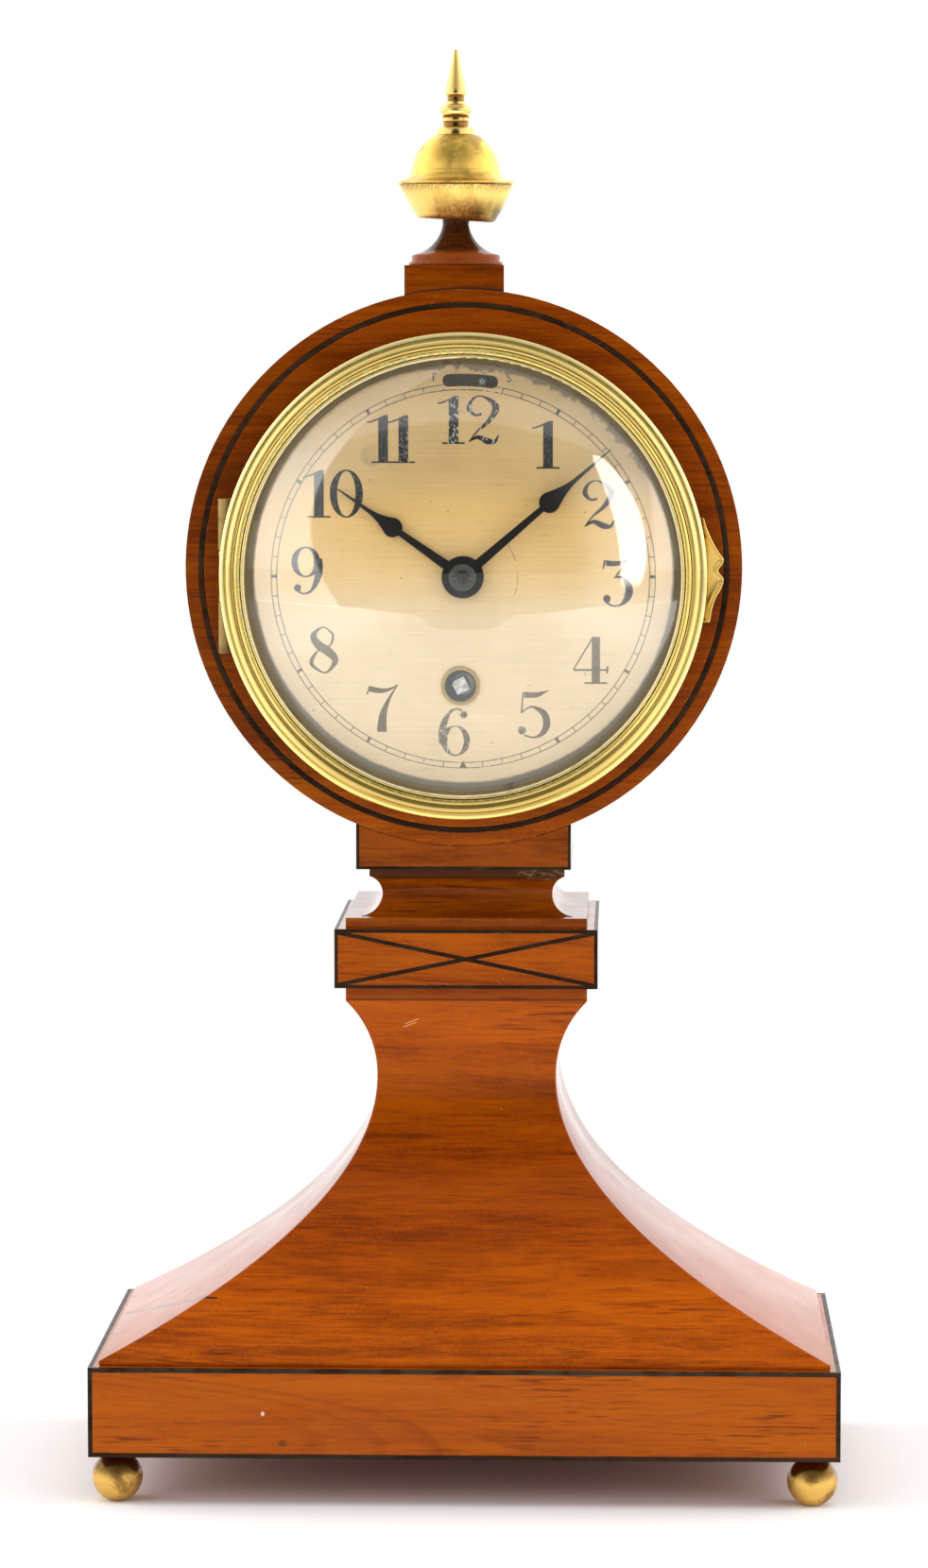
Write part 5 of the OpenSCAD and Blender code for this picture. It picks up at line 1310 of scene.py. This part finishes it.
# %% Regulator marks
MARK_HIGH = 1.6
fast = bar(-0.08, 0, 0.08, 1) + bar(-0.08, 0.86, 0.45, 1) + bar(-0.08, 0.45, 0.36, 0.58)
slow = stroke([(0.24, 0.82, 0.14), (0.02, 0.98, 0.14), (-0.22, 0.8, 0.14), (-0.1, 0.58, 0.15),
               (0.14, 0.44, 0.15), (0.24, 0.2, 0.14), (0, 0.02, 0.14), (-0.25, 0.2, 0.14)])
marks = []
for shapes, (cx, cy) in ((fast, (-5.9, 38.85)), (slow, (9.1, 38.7))):
    marks += [[(cx + MARK_HIGH * x, cy + MARK_HIGH * y) for x, y in shape] for shape in shapes]
dial_print.append(print_on_dial("regulator_marks", marks, 0.02))
print("regulator has", len(marks), "shapes in its letters")

# %% [markdown]
# ## The studio
# White seamless paper goes under and behind the clock. Large soft boxes stand at both sides and above,
# with the dark room behind the lens. They light the clock at a plain level. The dial lies deep behind
# its bezel, so a box of its own brings it up to the level of the wood. Two white cards before the
# clock belong to the finial, which would mirror the dark room without them.

# %% Floor
SPAN = 6.0
PLINTH_HALF = (0.0755, 0.0425)
corners = [(-SPAN, -SPAN, 0), (SPAN, -SPAN, 0), (SPAN, SPAN, 0), (-SPAN, SPAN, 0)]
paper_mesh = bpy.data.meshes.new("paper")
paper_mesh.from_pydata(corners, [], [(0, 1, 2, 3)])
paper = bpy.data.objects.new("paper", paper_mesh)
bpy.context.collection.objects.link(paper)
white_paper, tree, shader = new_material("white_paper", Roughness=0.9, Specular_IOR_Level=0.1)
here = place(tree)
x, y, _ = parts(here)
path = add(tree, "ShaderNodeLightPath")
glossy = out(path, "Is Glossy Ray")
plug(shader, {"Base Color": blend(noise(here, 40.0, 3, 0.5), (0.87, 0.86, 0.86), (0.9, 0.89, 0.89))})
away = far(larger(abs(x) - PLINTH_HALF[0], 0.0), larger(abs(y) - PLINTH_HALF[1], 0.0))
behind = glossy * remap(y, -0.3, -0.1)
white = remap(away, 0.0, 0.07) * larger(out(path, "Is Camera Ray"), behind)
glow = remap(glossy, 0.0, 1.0, 1.0, 1.5)
plain_white = add(tree, "ShaderNodeEmission", {"Color": (1, 1, 1, 1), "Strength": glow})
mixed = add(tree, "ShaderNodeMixShader", {0: white, 1: out(shader), 2: out(plain_white)})
plug(tree.nodes["Material Output"], {"Surface": out(mixed)})
paper_mesh.materials.append(white_paper)
print("paper is", 2 * SPAN, "m wide")

# %% World
world = bpy.data.worlds.new("studio_world")
bpy.context.scene.world = world
world.use_nodes = True
tree = world.node_tree
path = add(tree, "ShaderNodeLightPath")
x, y, z = parts(out(add(tree, "ShaderNodeTexCoord"), "Generated"))
paper_glow = remap(y, -0.7, 0.3, 1.1, 1.75)
dark_room = remap(y, -0.84, -0.965, 1.0, 0.06)
boxes = remap(abs(x), 0.3, 0.75, 1.0, 1.3)
ceiling = remap(z - y * 0.3, 0.45, 0.9, 1.0, 0.5)
mirrored = larger(out(path, "Is Glossy Ray"), out(path, "Is Transmission Ray"))
level = mirrored * (paper_glow * dark_room * boxes * ceiling) + (1.0 - mirrored) * 0.5
plug(tree.nodes["Background"], {"Color": (1, 1, 1, 1), "Strength": larger(out(path, "Is Camera Ray"), level)})
print("world has", len(tree.nodes), "nodes")

# %% Lamps
def only(name, objects):
    group = bpy.data.collections.new(name)
    for obj in objects:
        group.objects.link(obj)
    return group


def lamp(name, where, size, power, look_at, receivers=None, mirrored=False):
    light = bpy.data.lights.new(name, "AREA")
    light.shape = "RECTANGLE"
    light.size, light.size_y = size
    light.energy = power
    obj = bpy.data.objects.new(name, light)
    obj.location = where
    obj.rotation_euler = (Vector(look_at) - Vector(where)).to_track_quat("-Z", "Y").to_euler()
    obj.visible_camera = False
    obj.visible_glossy = mirrored
    obj.visible_diffuse = not mirrored
    obj.visible_transmission = False
    bpy.context.collection.objects.link(obj)
    if receivers:
        obj.light_linking.receiver_collection = receivers
    return obj


def card(name, where, size, level, look_at, receivers):
    return lamp(name, where, size, math.pi * size[0] * size[1] * level, look_at, receivers, mirrored=True)


middle = (0, 0, 0.15)
for side, name in ((-1, "left"), (1, "right")):
    lamp(name + "_box", (side * 1.16, -1.0, 0.55), (1.0, 1.1), 5, middle)
    lamp(name + "_side_box", (side * 1.3, 0.15, 0.7), (0.9, 1.0), 10, middle)
lamp("top_box", (0, -0.1, 1.5), (1.6, 1.4), 13, middle)
deep_parts = [nodes[name] for name in ("dial_plate", "dial_ring", "glass_retainer")]
dial_only = only("dial_only", deep_parts + dial_print)
lamp("dial_box", (0, -1.5, 0.6), (0.9, 0.6), 5, (0, 0, 0.187), dial_only)
finial_only = only("finial_only", [bpy.data.objects[name] for name in ("cup", "dome", "spire")])
card("finial_card", (0, -0.42, 0.02), (1.2, 0.56), 1.55, (0, -0.42, 1), finial_only)
dome_only = only("dome_only", [bpy.data.objects[name] for name in ("cup", "dome")])
card("dome_card", (0, -1.2, 0.6), (0.5, 0.45), 0.95, (0, 0, 0.27), dome_only)

# %% [markdown]
# ## What the glass mirrors
# In the photograph the domed glass mirrors the studio: a pale box at each side, the ceiling, the table
# below, and a bright strip at two o'clock, with the dark room between them. Light linking gives the
# pane two cards of its own which reach nothing else, one upright and one lying on the table. A lamp can
# have nodes like a material, so each card's pattern is drawn by place, as a stage lamp's gobo is cut.

# %% Mirrored cards
pane_only = only("pane_only", [pane])


def cut_card(name, where, size, look_at):
    light = card(name, where, size, 1.0, look_at, pane_only).data
    light.use_nodes = True
    spot = out(add(light.node_tree, "ShaderNodeNewGeometry"), "Position")
    return light.node_tree.nodes["Emission"], *parts(spot)


def beyond(value, line, soft=0.012):
    return remap(value - line, -soft, soft)


print("cards for", pane.name)

# %% Upright card
emission, x, _, z = cut_card("upright_card", (0.1, -1.235, 0.7), (3.7, 1.6), (0.1, 0, 0.7))
left = beyond(square(z - 0.36) * 1.17 - 0.7, x)
right = beyond(x, 0.8, 0.04)
top_line = 0.783 - square(x) * 0.2 - larger(x, 0.0) * 0.1
top = beyond(z, top_line) * remap(z, 0.97, 0.84)
strip_at = 0.699 - square(z - 0.215) * 0.83
strip_half = sums("SQRT", larger(1.0 - square((z - 0.33) / 0.33), 0.0)) * 0.074
strip = beyond(strip_half, abs(x - strip_at), 0.006) * remap(z, 0.07, 0.12) * (z < 0.652)
sides = remap(z, -0.05, 0.35, 4.6, 6.0) * remap(z, 0.55, 0.95, 1.0, 0.3) * remap(abs(x), 0.7, 1.2, 1.0, 1.35)
halo = remap(x, 0.36, 0.62) * remap(z, 0.7, 0.5)
level = 0.0
for mask, bright in ((left, sides), (top, 1.4), (right, sides), (halo, 2.6)):
    level = larger(level, mask * bright)
level = level + strip * 14.0
from_middle = sums("SQRT", square(x + 0.055) + square(z - 0.11) * 1.036)
plug(emission, {"Strength": level * remap(from_middle, 0.992, 0.97)})
print("upright card has", len(emission.id_data.nodes), "nodes")

# %% Table card
emission, x, y, _ = cut_card("table_card", (0, -0.9, 0.003), (3.0, 1.4), (0, -0.9, 1))
wide = abs(x)
lens_shadow = remap(abs(x + 0.02), 0.2, 0.06, 0.0, 0.27)
far_line = lens_shadow - 1.13 - larger(wide - 0.25, 0.0) * 0.45
near_line = sums("SQRT", square(x + 0.02) * 1.5 + 0.04)
table = beyond(y, far_line) * remap(y + near_line, 0.012, -0.002) * remap(y, -0.2, -0.32) * (y > -1.235)
plug(emission, {"Strength": table * remap(wide, 0.14, 0.45, 1.4, 4.4)})
